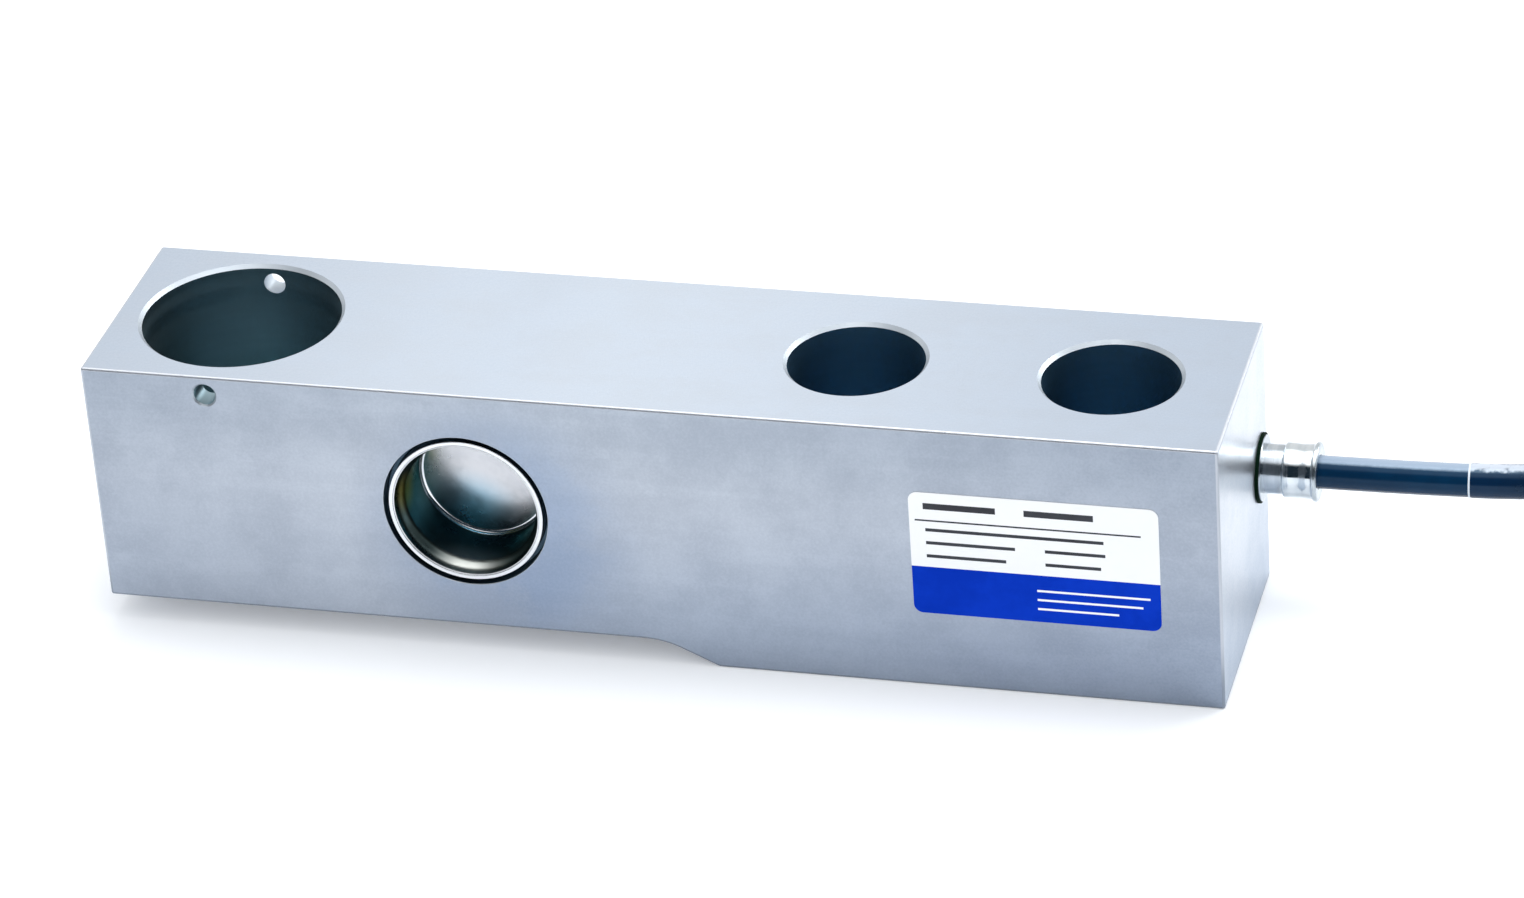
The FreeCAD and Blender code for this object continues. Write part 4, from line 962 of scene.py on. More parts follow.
def cord_curve(
    name: str, route: np.ndarray, radius: float, material: bpy.types.Material, resolution: int = 12
) -> bpy.types.Object:
    """Make a round cord on a NURBS spline.

    Args:
        name: name of the piece.
        route: (n, 3) control points in millimetres.
        radius: the cord's radius in millimetres.
        material: its finish.
        resolution: points of the line for each control point.

    Returns:
        The curve object.
    """
    curve = bpy.data.curves.new(name, "CURVE")
    curve.dimensions = "3D"
    spline = curve.splines.new("NURBS")
    spline.points.add(len(route) - 1)
    spline.points.foreach_set("co", np.column_stack([route * MM, np.ones(len(route))]).ravel())
    spline.points.foreach_set("radius", np.full(len(route), radius * MM))
    spline.order_u = 3
    spline.use_endpoint_u = True
    spline.resolution_u = resolution
    spline.use_smooth = True
    curve.resolution_u = resolution
    curve.bevel_depth = 1.0
    curve.bevel_resolution = 5
    curve.use_fill_caps = True
    curve.materials.append(material)
    return mounted(bpy.data.objects.new(name, curve))


def line_of(cord: bpy.types.Object) -> np.ndarray:
    """Points in millimetres of a cord's own line, read from its spline without its thickness.

    Args:
        cord: the curve object.

    Returns:
        (n, 3) points.
    """
    depth, cord.data.bevel_depth = cord.data.bevel_depth, 0.0
    bpy.context.view_layer.update()
    mesh = bpy.data.meshes.new_from_object(cord)
    points = np.empty(len(mesh.vertices) * 3)
    mesh.vertices.foreach_get("co", points)
    bpy.data.meshes.remove(mesh)
    cord.data.bevel_depth = depth
    return points.reshape(-1, 3) / MM


def between(path: np.ndarray, low: float, high: float, count: int) -> np.ndarray:
    """The stretch of a path between two values of X, as evenly spaced points."""
    place = np.linspace(low, high, count)
    rising = path[: int(np.argmax(path[:, 0] > high + 10.0)) + 1]
    return np.column_stack([place, *(np.interp(place, rising[:, 0], rising[:, i]) for i in (1, 2))])


@dataclass
class ShrinkSleeve:
    """Thicker dark sleeve shrunk onto the cable."""

    start: float = 116.85
    length: float = 24.0
    wall: float = 0.1
    lip: float = 0.3
    seam: float = 0.28
    gap: float = 0.01
    ripple: float = 0.008
    waves: tuple[float, float] = (1.7, 0.31)
    seam_share: float = 0.6

    def make(
        self, path: np.ndarray, radius: float, materials: Sequence[bpy.types.Material]
    ) -> bpy.types.Object:
        """Make the sleeve round a stretch of the cable's line, with a narrow seam of glue at its start.

        The radius is r + g + w (1 - (1 - d / lip)^2)^(1/2) at a distance d from either end, a
        rounded edge, with g the gap and w the wall, and a faint ripple runs along the sleeve.

        Args:
            path: the cable's line.
            radius: the cable's radius.
            materials: finishes of the sleeve and of the seam.

        Returns:
            The sleeve.
        """
        stretch = between(path, self.start, self.start + self.length, 97)
        inset = np.minimum(stretch[:, 0] - self.start, self.start + self.length - stretch[:, 0])
        share = np.clip(inset / self.lip, 0.0, 1.0)
        short, long = (np.sin(stretch[:, 0] * rate) for rate in self.waves)
        wave = self.ripple * short * long
        outside = radius + self.gap + self.wall * np.sqrt(1 - (1 - share) ** 2) + wave * share
        skin = Skin("shrink_sleeve_film")
        sweep(skin, stretch, np.minimum(outside, radius + self.wall), SMALL)
        glue = between(path, self.start - self.seam, self.start, 5)
        sweep(skin, glue, radius + self.wall * self.seam_share, SMALL, 1)
        return skin.build(materials)


@dataclass
class HankTie:
    """Flat tie round the turns of the hank's front run."""

    middle: tuple[float, float] = HANK_MIDDLE
    width: float = 4.0
    strap: float = 0.35
    inner: float = 12.5
    outer: float = 22.5
    height: float = 30.0
    turn: float = 2.5
    slack: float = 0.4
    foot_share: float = 0.4

    def make(self, material: bpy.types.Material) -> bpy.types.Object:
        """Make the strap as a band with a wall, carried round the run's rounded section.

        Args:
            material: the tie's finish.

        Returns:
            The tie.
        """
        top_r = self.turn - self.slack
        foot_r = top_r * self.foot_share
        near, far = -self.inner - top_r, -self.outer + top_r
        corners = (
            ((far, self.height - top_r), top_r, 180.0), ((near, self.height - top_r), top_r, 90.0),
            ((near, self.strap + foot_r), foot_r, 0.0), ((far, self.strap + foot_r), foot_r, -90.0))
        skin = Skin("hank_tie_strap")
        place = np.array([*self.middle, 0.0])
        line = np.concatenate([arc(centre, radius, a, a - 90.0, 8) for centre, radius, a in corners])
        out = np.concatenate([arc(ORIGIN, 1.0, a, a - 90.0, 8) for _, _, a in corners])
        line, out = np.vstack([line, line[:1]]), np.vstack([out, out[:1]])
        half = self.width / 2
        for grow, side in ((self.strap, 1.0), (0.0, -1.0)):
            yz = line + out * grow
            rows = np.stack([
                np.column_stack([np.full(len(yz), x), yz]) for x in (-half, half)])
            facing = np.broadcast_to(np.column_stack([np.zeros(len(out)), out * side]), rows.shape)
            skin.grid(rows + place, facing)
        for x, way in ((-half, -1.0), (half, 1.0)):
            rows = np.stack([
                np.column_stack([np.full(len(line), x), line + out * grow]) for grow in (0.0, self.strap)])
            facing = np.zeros_like(rows)
            facing[..., 0] = way
            skin.grid(rows + place, facing)
        return skin.build([material])


@dataclass
class FreeCores:
    """Four insulated cores and the twisted screen at the cable's stripped end, with bare tips."""

    start: tuple[float, float, float] = CABLE_END
    lay: float = 1.5 / math.sqrt(2.0)
    core: float = 1.2
    screen: float = 0.98
    copper: float = 0.7
    length: float = 42.0
    bare: float = 5.0
    hidden: float = 0.3
    trim: float = 0.1
    dip: float = 1.02
    strand_turns: float = 1.5
    straight: float = 0.14
    drift: tuple = ((0.42, 0.30, 0.2), (0.72, 0.66, 0.05), (1.0, 0.86, 0.0))
    shapes: dict = field(default_factory=lambda: {
        "red_core": (-1.0, 1.0, -11.8, 0.96),
        "black_core": (-1.0, -1.0, -6.1, 1.0),
        "screen_tail": (0.0, 0.0, -4.0, 0.84),
        "green_core": (1.0, -1.0, -2.2, 0.97),
        "white_core": (1.0, 1.0, 3.4, 1.0)})

    def thickness(self, name: str) -> float:
        """Diameter of one core or of the screen."""
        return self.screen if name == "screen_tail" else self.core

    def route(self, name: str) -> np.ndarray:
        """Control points of one core, from the jacket's end down to the floor and out to its tip.

        Each drift gives a share of the length, a share of the sideways reach and a height over the
        place where the core would lie on the floor.
        """
        side, level, sideways, reach = self.shapes[name]
        x, y, z = self.start[0], self.start[1] + side * self.lay, self.start[2] + level * self.lay
        length, radius = self.length * reach, self.core / 2
        settled = (
            (x + far * length, y + aside * sideways, radius + lift) for far, aside, lift in self.drift)
        return np.array([(x, y, z), (x + self.straight * length, y, z), *settled])

    def make(self, finishes: dict, tinned: bpy.types.Material) -> dict:
        """Make each core as a cord of its own, and all the bare tips as one piece.

        Args:
            finishes: material for each core's name.
            tinned: material of the bare tips.

        Returns:
            The cords by name, with the tips under "tips".
        """
        made, tips = {}, Skin("bare_tips")
        for name in self.shapes:
            cord = cord_curve(name + "_lead", self.route(name), self.thickness(name) / 2, finishes[name])
            made[name] = cord
            line = line_of(cord)
            self._tip(tips, line[-1], line[-1] - line[-2])
        made["tips"] = tips.build([tinned])
        return made

    def _tip(self, skin: Skin, end: np.ndarray, along: np.ndarray) -> None:
        """Add seven fine strands, six of them twisted round the middle one.

        Strand j runs through e + d x + c (s cos(w x + j pi / 3) + u sin(w x + j pi / 3)).

        Args:
            skin: mesh of the tips.
            end: cut end of the insulation.
            along: direction in which the core ends.
        """
        ahead = along / np.linalg.norm(along)
        aside = np.cross(ahead, (0.0, 0.0, 1.0))
        aside /= np.linalg.norm(aside)
        upward = np.cross(aside, ahead)
        strand = self.copper / 6
        place = np.linspace(-self.hidden, self.bare - self.trim, 25)
        for number in range(7):
            turn = 2 * math.pi * self.strand_turns * place / self.bare + number * math.pi / 3
            reach = 0.0 if number == 6 else strand * 2
            offset = (aside * np.cos(turn)[:, None] + upward * np.sin(turn)[:, None]) * reach
            sweep(skin, end + ahead * place[:, None] + offset, strand, 8)


# The beam

@dataclass
class Beam:
    """Machined stainless bar with its bores, gauge pockets, weld lips and gland port."""

    length: float = BEAM_LENGTH
    width: float = BEAM_WIDTH
    height: float = 43.7
    pad: float = 76.1
    relief: float = 3.9
    relief_radius: float = 14.0
    ramp: float = 25.0
    edge: float = 0.4
    mouth: float = 0.55
    load_x: float = LOAD_X
    load_radius: float = 15.1
    load_depth: float = 28.0
    floor_round: float = 1.0
    pin_radius: float = 1.7
    pin_z: float = 40.6
    pin_mouth: float = 0.25
    hole_radius: float = 10.25
    hole_places: tuple[float, float] = (28.55, 66.65)
    pocket: tuple[float, float] = POCKET
    pocket_radius: float = 11.45
    web: float = 9.5
    lip: float = 0.42
    lip_drop: float = 0.5
    groove: float = 0.8
    groove_depth: float = 2.6
    groove_mouth: float = 0.1
    web_hole: float = 1.1
    web_hole_inset: float = 7.4
    gland: tuple[float, float] = GLAND
    port_radius: float = 4.0
    port_depth: float = 6.5
    channel: float = 1.6
    drill_point: float = 59.0
    pin_band: float = 2.6
    web_band: float = 3.0
    web_chamfer: float = 1.0
    groove_round: float = 0.15

    @property
    def half_length(self) -> float:
        """Middle of the beam to its end faces."""
        return self.length / 2

    @property
    def half_width(self) -> float:
        """Middle of the beam to its front and rear faces."""
        return self.width / 2

    def side_line(self) -> tuple[np.ndarray, np.ndarray]:
        """Centres and directions of the rounded outer edge, once round the side view.

        Every outer edge is a quarter round of the radius of the edge, whose centres lie on the side
        outline set in by that radius.

        Returns:
            (n, 2) centres in X and Z, and (n, 2) unit directions out of the beam.
        """
        inset, reach = self.edge, self.half_length - self.edge
        slope, pad_x = math.radians(self.ramp), self.half_length - self.pad
        ramp_top = self.relief - self.relief_radius * (1 - math.cos(slope))
        start_x = pad_x - ramp_top / math.tan(slope) - self.relief_radius * math.sin(slope)
        middle = (start_x, self.relief - self.relief_radius)
        sweep_angles = np.linspace(math.pi / 2, math.pi / 2 - slope, 15)
        curve = middle + ring(self.relief_radius + inset, sweep_angles)
        curve_out = -ring(1.0, sweep_angles)

        def corner(x: float, z: float, begin: float, end: float) -> tuple[np.ndarray, np.ndarray]:
            """A convex corner turned from one direction to another, in degrees."""
            directions = ring(1.0, np.radians(np.linspace(begin, end, 6)))
            return np.broadcast_to((x, z), directions.shape), directions

        parts = [
            corner(-reach, self.relief + inset, -180.0, -90.0),
            (curve, curve_out),
            corner(pad_x + inset * math.tan(slope / 2), inset, -90.0 - self.ramp, -90.0),
            corner(reach, inset, -90.0, 0.0),
            corner(reach, self.height - inset, 0.0, 90.0),
            corner(-reach, self.height - inset, 90.0, 180.0)]
        return np.concatenate([p[0] for p in parts]), np.concatenate([p[1] for p in parts])

    def make(self, materials: Sequence[bpy.types.Material]) -> bpy.types.Object:
        """Make the whole bar.

        Args:
            materials: materials in the order of Finish.

        Returns:
            The beam.
        """
        skin = Skin("machined_beam")
        centres, directions = self.side_line()
        self._edges_and_bands(skin, centres, directions)
        self._faces(skin, centres)
        self._load_bore(skin)
        self._mounting_holes(skin)
        for side in (-1.0, 1.0):
            self._pocket(skin, side)
        self._web_hole(skin)
        self._port(skin)
        return skin.build(materials)

    def _edges_and_bands(self, skin: Skin, centres: np.ndarray, directions: np.ndarray) -> None:
        """Rounded edges at front and rear, and every face across the beam that has no hole.

        With b from -90 to 0 degrees the front edge is (c + e cos b n, -(w - e) + e sin b), and the
        rear edge is its mirror image.
        """
        loop = np.vstack([centres, centres[:1]])
        out = np.vstack([directions, directions[:1]])
        reach = self.half_width - self.edge
        for side in (-1.0, 1.0):
            bank = np.radians(np.linspace(0.0, 90.0, 6))[:, None, None]
            flat = loop[None] + out[None] * self.edge * np.cos(bank)
            depth = side * (reach + self.edge * np.sin(bank[..., 0]) * np.ones(len(loop)))
            points = around(Axis.Y, ORIGIN, flat, depth)
            lean = side * np.sin(bank[..., 0]) * np.ones(len(loop))
            normals = around(Axis.Y, ORIGIN, out[None] * np.cos(bank), lean)
            skin.grid(points, normals, Finish.EDGE.value)
        rim = loop + out * self.edge
        same = np.all(np.isclose(out[1:], out[:-1]), axis=1)
        curved = np.all(np.isclose(np.linalg.norm(np.diff(loop, axis=0), axis=1)[:, None], 0.0), axis=1)
        on_pad = (out[1:, 1] < -0.999) & (loop[1:, 1] < self.edge + 1e-6)
        pierced = same & ((out[1:, 1] > 0.5) | (out[1:, 0] > 0.5) | on_pad)
        for index in np.flatnonzero(~pierced):
            pair, facing = rim[index:index + 2], out[index:index + 2]
            points = around(
                Axis.Y, ORIGIN, np.broadcast_to(pair, (2, 2, 2)), np.array([[-reach] * 2, [reach] * 2]))
            normals = around(Axis.Y, ORIGIN, np.broadcast_to(facing, (2, 2, 2)), np.zeros((2, 2)))
            skin.grid(points, normals, (Finish.EDGE if curved[index] else Finish.GROUND).value)

    def _faces(self, skin: Skin, centres: np.ndarray) -> None:
        """The faces that holes open into."""
        hole, edge = turns_of(COLUMNS), self.edge
        across, along = self.half_width - edge, self.half_length - edge
        pad_x = float(centres[np.isclose(centres[:, 1], edge)][:, 0].min())

        def box(low: tuple[float, float], high: tuple[float, float]) -> np.ndarray:
            """Corners of a rectangle."""
            return np.array([low, (high[0], low[1]), high, (low[0], high[1])])

        holes = [ring(self.hole_radius + self.mouth, hole) + (x, 0.0) for x in self.hole_places]
        load = ring(self.load_radius + self.mouth, hole) + (self.load_x, 0.0)
        ground = Finish.GROUND.value
        flat_face(
            skin, Finish.TOP.value, Axis.Z, self.height, 1.0, box((-along, -across), (along, across)),
            [load, *holes])
        flat_face(skin, ground, Axis.Z, 0.0, -1.0, box((pad_x, -across), (along, across)), holes)
        port = ring(self.port_radius + self.groove_mouth, hole) + self.gland
        flat_face(
            skin, Finish.END.value, Axis.X, self.half_length, 1.0,
            box((-across, edge), (across, self.height - edge)), [port])
        fresh = np.any(np.abs(centres - np.roll(centres, 1, axis=0)) > 1e-9, axis=1)
        groove_r = self.pocket_radius + self.lip + self.groove + self.groove_mouth
        pocket = ring(groove_r, turns_of(FINE)) + self.pocket
        pin = ring(self.pin_radius + self.pin_mouth, turns_of(SMALL)) + (self.load_x, self.pin_z)
        for side in (-1.0, 1.0):
            flat_face(
                skin, ground, Axis.Y, side * self.half_width, side, centres[fresh], [pocket, pin])

    def _load_bore(self, skin: Skin) -> None:
        """Blind bore with the cross hole through its wall."""
        top, radius, centre = self.height, self.load_radius, (self.load_x, 0.0)
        floor, band = top - self.load_depth, self.pin_z - self.pin_band
        soft = self.floor_round
        mouth, bored = Finish.MOUTH.value, Finish.BORED.value
        wall = top - self.mouth
        corner = arc((radius - soft, floor + soft), soft, 0.0, -90.0, 6)
        lathe(skin, [
            (mouth, [(radius + self.mouth, top), (radius, wall)]),
            (bored, [(radius, band), (radius, floor + soft)]),
            (bored, corner),
            (bored, [(radius - soft, floor), (radius * 0.5, floor), (0.0, floor)]),
        ], Axis.Z, centre)
        turn, pin = turns_of(SMALL), (self.load_x, self.pin_z)
        across, rise = self.pin_radius * np.cos(turn), self.pin_radius * np.sin(turn)
        deep = np.sqrt(radius ** 2 - across ** 2)
        loops = [
            np.column_stack([np.arctan2(side * deep, across), self.pin_z + rise]) for side in (-1.0, 1.0)]
        bored_band(skin, bored, Axis.Z, centre, radius, band, wall, loops)
        for side in (-1.0, 1.0):
            outer = self.half_width - self.pin_mouth
            flat = np.broadcast_to(ring(self.pin_radius, turn), (2, len(turn), 2))
            depth = side * np.stack([deep, np.full(len(turn), outer)])
            points = around(Axis.Y, pin, flat, depth)
            normals = around(Axis.Y, ORIGIN, -flat, np.zeros(depth.shape))
            skin.grid(points, normals, mouth if side > 0 else bored, closed=True)
            rim = [
                (self.pin_radius, side * outer), (self.pin_radius + self.pin_mouth, side * self.half_width)]
            lathe(skin, [(mouth, rim)], Axis.Y, pin, SMALL, inward=side > 0)

    def _mounting_holes(self, skin: Skin) -> None:
        """Two through holes, chamfered at both ends."""
        top, radius, cut = self.height, self.hole_radius, self.mouth
        for x in self.hole_places:
            lathe(skin, [
                (Finish.MOUTH.value, [(radius + cut, 0.0), (radius, cut)]),
                (Finish.HOLE.value, [(radius, cut), (radius, top - cut)]),
                (Finish.MOUTH.value, [(radius, top - cut), (radius + cut, top)]),
            ], Axis.Z, (x, 0.0), inward=True)

    def _pocket(self, skin: Skin, side: float) -> None:
        """Gauge pocket on one face: groove, weld lip, wall and web.

        Args:
            skin: the beam's mesh.
            side: -1 for the front face, +1 for the rear face.
        """
        face, web = self.half_width, self.web / 2
        lip_r = self.pocket_radius + self.lip
        groove_r = lip_r + self.groove
        soft = self.groove_round
        deep = face - self.groove_depth
        mouth_r = groove_r + self.groove_mouth
        groove, bored = Finish.GROOVE.value, Finish.BORED.value

        def deepen(points: np.ndarray) -> np.ndarray:
            """Put a profile drawn for the rear face on this face."""
            return np.asarray(points, float) * (1.0, side)

        lip_top = face - self.lip_drop
        rim = arc((mouth_r, face - self.groove_mouth), self.groove_mouth, 90.0, 180.0, 4)
        outer_foot = arc((groove_r - soft, deep + soft), soft, 0.0, -90.0, 4)
        inner_foot = arc((lip_r + soft, deep + soft), soft, -90.0, -180.0, 4)
        low = web + self.web_band
        runs = [
            (Finish.MOUTH.value, rim),
            (groove, [(groove_r, face - self.groove_mouth), (groove_r, deep + soft)]),
            (groove, outer_foot),
            (groove, [(groove_r - soft, deep), (lip_r + soft, deep)]),
            (groove, inner_foot),
            *straights(groove, (lip_r, deep + soft), (lip_r, lip_top), (self.pocket_radius, lip_top))]
        placed = [(slot, deepen(run)) for slot, run in runs]
        lathe(skin, placed, Axis.Y, self.pocket, FINE, inward=side < 0)
        turn = turns_of(SMALL)
        radius, mouths = self.pocket_radius, []
        if side > 0:
            across = self.gland[0] + self.channel * np.cos(turn)
            rise = self.gland[1] + self.channel * np.sin(turn) - self.pocket[1]
            mouths = [np.column_stack([np.arcsin(rise / radius), across])]
        ends = sorted((side * low, side * lip_top))
        bored_band(skin, bored, Axis.Y, self.pocket, radius, *ends, mouths, columns=FINE)
        cut = self.web_chamfer
        lathe(skin, [
            (bored, deepen([(radius, low), (radius, web + cut)])),
            (bored, deepen([(radius, web + cut), (radius - cut, web)])),
        ], Axis.Y, self.pocket, FINE, inward=side < 0)
        disc = ring(radius - cut, turns_of(FINE)) + self.pocket
        wire = ring(self.web_hole, turn) + (self.pocket[0] - self.web_hole_inset, self.pocket[1])
        flat_face(skin, bored, Axis.Y, side * web, side, disc, [wire])

    def _web_hole(self, skin: Skin) -> None:
        """Hole for the bridge wires through the shear web."""
        centre = (self.pocket[0] - self.web_hole_inset, self.pocket[1])
        wall = [(self.web_hole, -self.web / 2), (self.web_hole, self.web / 2)]
        lathe(skin, [(Finish.BORED.value, wall)], Axis.Y, centre, SMALL, inward=True)

    def _port(self, skin: Skin) -> None:
        """Gland port in the cable end and the wiring channel to the rear pocket."""
        end, radius, small = self.half_length, self.port_radius, self.groove_mouth
        floor = end - self.port_depth
        point = floor - (radius - self.channel) / math.tan(math.radians(self.drill_point))
        lathe(skin, [
            (Finish.MOUTH.value, arc((radius + small, end - small), small, 90.0, 180.0, 4)),
            *straights(Finish.BORED.value, (radius, end - small), (radius, floor), (self.channel, point)),
        ], Axis.X, self.gland)
        turn = turns_of(COLUMNS)
        flat = np.broadcast_to(ring(self.channel, turn), (2, len(turn), 2))
        rise = self.gland[1] + self.channel * np.sin(turn) - self.pocket[1]
        meet = self.pocket[0] + np.sqrt(self.pocket_radius ** 2 - rise ** 2)
        points = around(Axis.X, self.gland, flat, np.stack([np.full(len(turn), point), meet]))
        normals = around(Axis.X, ORIGIN, -flat, np.zeros((2, len(turn))))
        skin.grid(points, normals, Finish.BORED.value, closed=True)


@dataclass
class SealingCup:
    """Deep-drawn cup welded into a gauge pocket."""

    name: str
    side: float
    centre: tuple[float, float] = POCKET
    face: float = BEAM_WIDTH / 2
    rim: float = 11.05
    lip: float = 11.87
    wall_radius: float = 10.1
    depth: float = 10.5
    corner: float = 0.6
    sheet: float = 0.4
    bead_drop: float = 0.12
    lip_drop: float = 0.5
    shoulder_top: float = 0.9
    shoulder_end: float = 2.9
    crown: float = 0.06

    @property
    def bead_half(self) -> float:
        """Depth from the top of the weld bead to where its outer side ends."""
        return (self.lip - self.rim) / 4

    def inside(self) -> list[np.ndarray]:
        """Smooth runs of the inner face, as (radius, depth), from the bead down to the floor.

        The bead is a broad, nearly flat ring with rounded sides and a narrow ridge inside it, the
        cup's own edge. The shoulder draws in as r = rim - (rim - wall) (1 - cos(pi t)) / 2, and
        the floor is dished by c (1 - (r / R)^2)^2.
        """
        top, half = self.bead_drop, self.bead_half
        side, crest, seam = 0.10, 0.07, 0.22
        inner = self.rim + seam
        ridges = [
            np.vstack([
                [(self.lip, top + half)],
                arc((self.lip - side, top + side), side, 0.0, -90.0, 6),
                arc((inner + side, top + side), side, -90.0, -160.0, 5)]),
            arc((self.rim + seam / 2, top + crest + seam / 2), seam / 2, -20.0, -180.0, 8)]
        share = np.linspace(0.0, 1.0, 13)
        shoulder = np.column_stack([
            self.rim - (self.rim - self.wall_radius) * (1 - np.cos(np.pi * share)) / 2,
            self.shoulder_top + (self.shoulder_end - self.shoulder_top) * share])
        wall = np.vstack([
            [(self.rim, top + crest + seam / 2)], shoulder, [(self.wall_radius, self.depth - self.corner)]])
        corner = arc(
            (self.wall_radius - self.corner, self.depth - self.corner), self.corner, 0.0, 90.0, 10)
        radii = np.linspace(self.wall_radius - self.corner, 0.0, 25)
        dish = self.depth - self.crown * (1 - (radii / radii[0]) ** 2) ** 2
        return [*ridges, wall, corner, np.column_stack([radii, dish])]

    def outside(self) -> tuple[tuple[float, float], ...]:
        """Corners of the hidden face, as (radius, depth), from the middle out to the lip."""
        under, outer = self.depth + self.sheet, self.wall_radius + self.sheet
        pocket, cut = self.rim + self.sheet, 0.8
        return (
            (0.0, under), (outer - cut, under), (outer, under - cut),
            (outer, self.shoulder_end + self.sheet), (pocket, self.shoulder_top + self.sheet),
            (pocket, self.lip_drop), (self.lip, self.lip_drop), (self.lip, self.bead_drop + self.bead_half))

    def make(self, materials: Sequence[bpy.types.Material]) -> bpy.types.Object:
        """Make the cup.

        Args:
            materials: materials of the weld bead, the drawn wall, the corner and the drawn floor.

        Returns:
            The cup.
        """
        skin = Skin(self.name)
        bead, wall, corner, floor = range(4)
        runs = list(zip((bead, bead, wall, corner, floor), self.inside()))
        runs += [(slot, np.array(pair)) for slot, pair in straights(wall, *self.outside())]
        placed = [
            (slot, np.column_stack([run[:, 0], self.side * (self.face - run[:, 1])])) for slot, run in runs]
        lathe(skin, placed, Axis.Y, self.centre, FINE, inward=self.side < 0)
        return skin.build(materials)


@dataclass
class CableEntry:
    """Gland, crimped ferrule and sealing ring in the cable end."""

    axis: tuple[float, float] = GLAND
    end: float = BEAM_LENGTH / 2
    neck: float = 3.75
    neck_length: float = 3.7
    spigot: float = 3.45
    spigot_length: float = 2.6
    bore: float = 3.0
    floor: float = 1.0
    core_hole: float = 1.4
    insert: float = 6.5
    ferrule: float = 4.15
    ferrule_length: float = 5.2
    lip: float = 4.45
    lip_length: float = 0.9
    crimp: float = 0.09
    hole: float = 2.55
    ring_radius: float = 5.3
    ring_thickness: float = 0.5
    ring_round: float = 0.15
    flange: float = 5.0
    flange_thickness: float = 0.2

    def gland(self, material: bpy.types.Material) -> bpy.types.Object:
        """Make the gland with its neck and the thin flange that presses on the ring.

        Args:
            material: turned steel.

        Returns:
            The gland.
        """
        end, neck = self.end, self.neck
        stop = end + self.neck_length
        tip = stop + self.spigot_length
        back = end - self.insert
        seat = end + self.ring_thickness
        front = seat + self.flange_thickness
        soft = 0.12
        bottom = back + self.floor
        runs = [
            *straights(
                0, (self.core_hole, back), (neck - soft, back), (neck, back + soft), (neck, seat),
                (self.flange, seat), (self.flange, front), (neck, front), (neck, stop - soft)),
            (0, arc((neck - soft, stop - soft), soft, 0.0, 90.0, 4)),
            *straights(
                0, (neck - soft, stop), (self.spigot, stop), (self.spigot, tip), (self.bore, tip),
                (self.bore, bottom), (self.core_hole, bottom), (self.core_hole, back))]
        return self._turned("turned_gland", runs, COARSE, material)

    def crimped(self, bright: bpy.types.Material, worn: bpy.types.Material) -> bpy.types.Object:
        """Make the ferrule: rolled shoulder, crimped groove and flared lip.

        The crimped groove is r - c sin(pi t)^2 over the middle of the ferrule.

        Args:
            bright: material of the ferrule.
            worn: material of its flared edge.

        Returns:
            The ferrule.
        """
        start, radius = self.end + self.neck_length, self.ferrule
        finish = start + self.ferrule_length
        lip_start = finish - self.lip_length
        soft, roll, bell = 0.3, self.lip_length / 3, 0.25
        share = np.linspace(0.0, 1.0, 21)
        first, last = start + soft + 0.6, lip_start - 0.4
        body = np.column_stack([
            radius - self.crimp * np.sin(np.pi * share) ** 2, first + (last - first) * share])
        body = np.vstack([[(radius, start + soft)], body, [(radius, lip_start)]])
        step = start + self.spigot_length
        runs = [
            (0, [(self.spigot, start), (radius - soft, start)]),
            (0, arc((radius - soft, start + soft), soft, -90.0, 0.0, 6)),
            (0, body),
            (0, [(radius, lip_start), (self.lip - roll * 0.4, lip_start + roll * 0.6)]),
            (0, arc((self.lip - roll, lip_start + roll * 1.2), roll, -30.0, 0.0, 3)),
            (1, [(self.lip, lip_start + roll * 1.2), (self.lip, finish - roll)]),
            (1, arc((self.lip - roll, finish - roll), roll, 0.0, 90.0, 6)),
            (1, [(self.lip - roll, finish), (self.hole + bell, finish)]),
            (1, arc((self.hole + bell, finish - bell), bell, 90.0, 180.0, 4)),
            *straights(
                0, (self.hole, finish - bell), (self.hole, step), (self.spigot, step), (self.spigot, start))]
        return self._turned("crimped_ferrule", runs, COLUMNS, bright, worn)

    def sealing_ring(self, material: bpy.types.Material) -> bpy.types.Object:
        """Make the moulded ring between the gland and the end face.

        Args:
            material: black rubber.

        Returns:
            The ring.
        """
        far, outer, soft = self.end + self.ring_thickness, self.ring_radius, self.ring_round
        runs = [
            *straights(0, (self.neck, self.end), (outer, self.end), (outer, far - soft)),
            (0, arc((outer - soft, far - soft), soft, 0.0, 90.0, 6)),
            *straights(0, (outer - soft, far), (self.neck, far), (self.neck, self.end))]
        return self._turned("moulded_seal_ring", runs, COARSE, material)

    def _turned(
        self, name: str, runs: Sequence[tuple], columns: int, *materials: bpy.types.Material
    ) -> bpy.types.Object:
        """One piece turned about the cable's axis."""
        skin = Skin(name)
        lathe(skin, runs, Axis.X, self.axis, columns)
        return skin.build(materials)


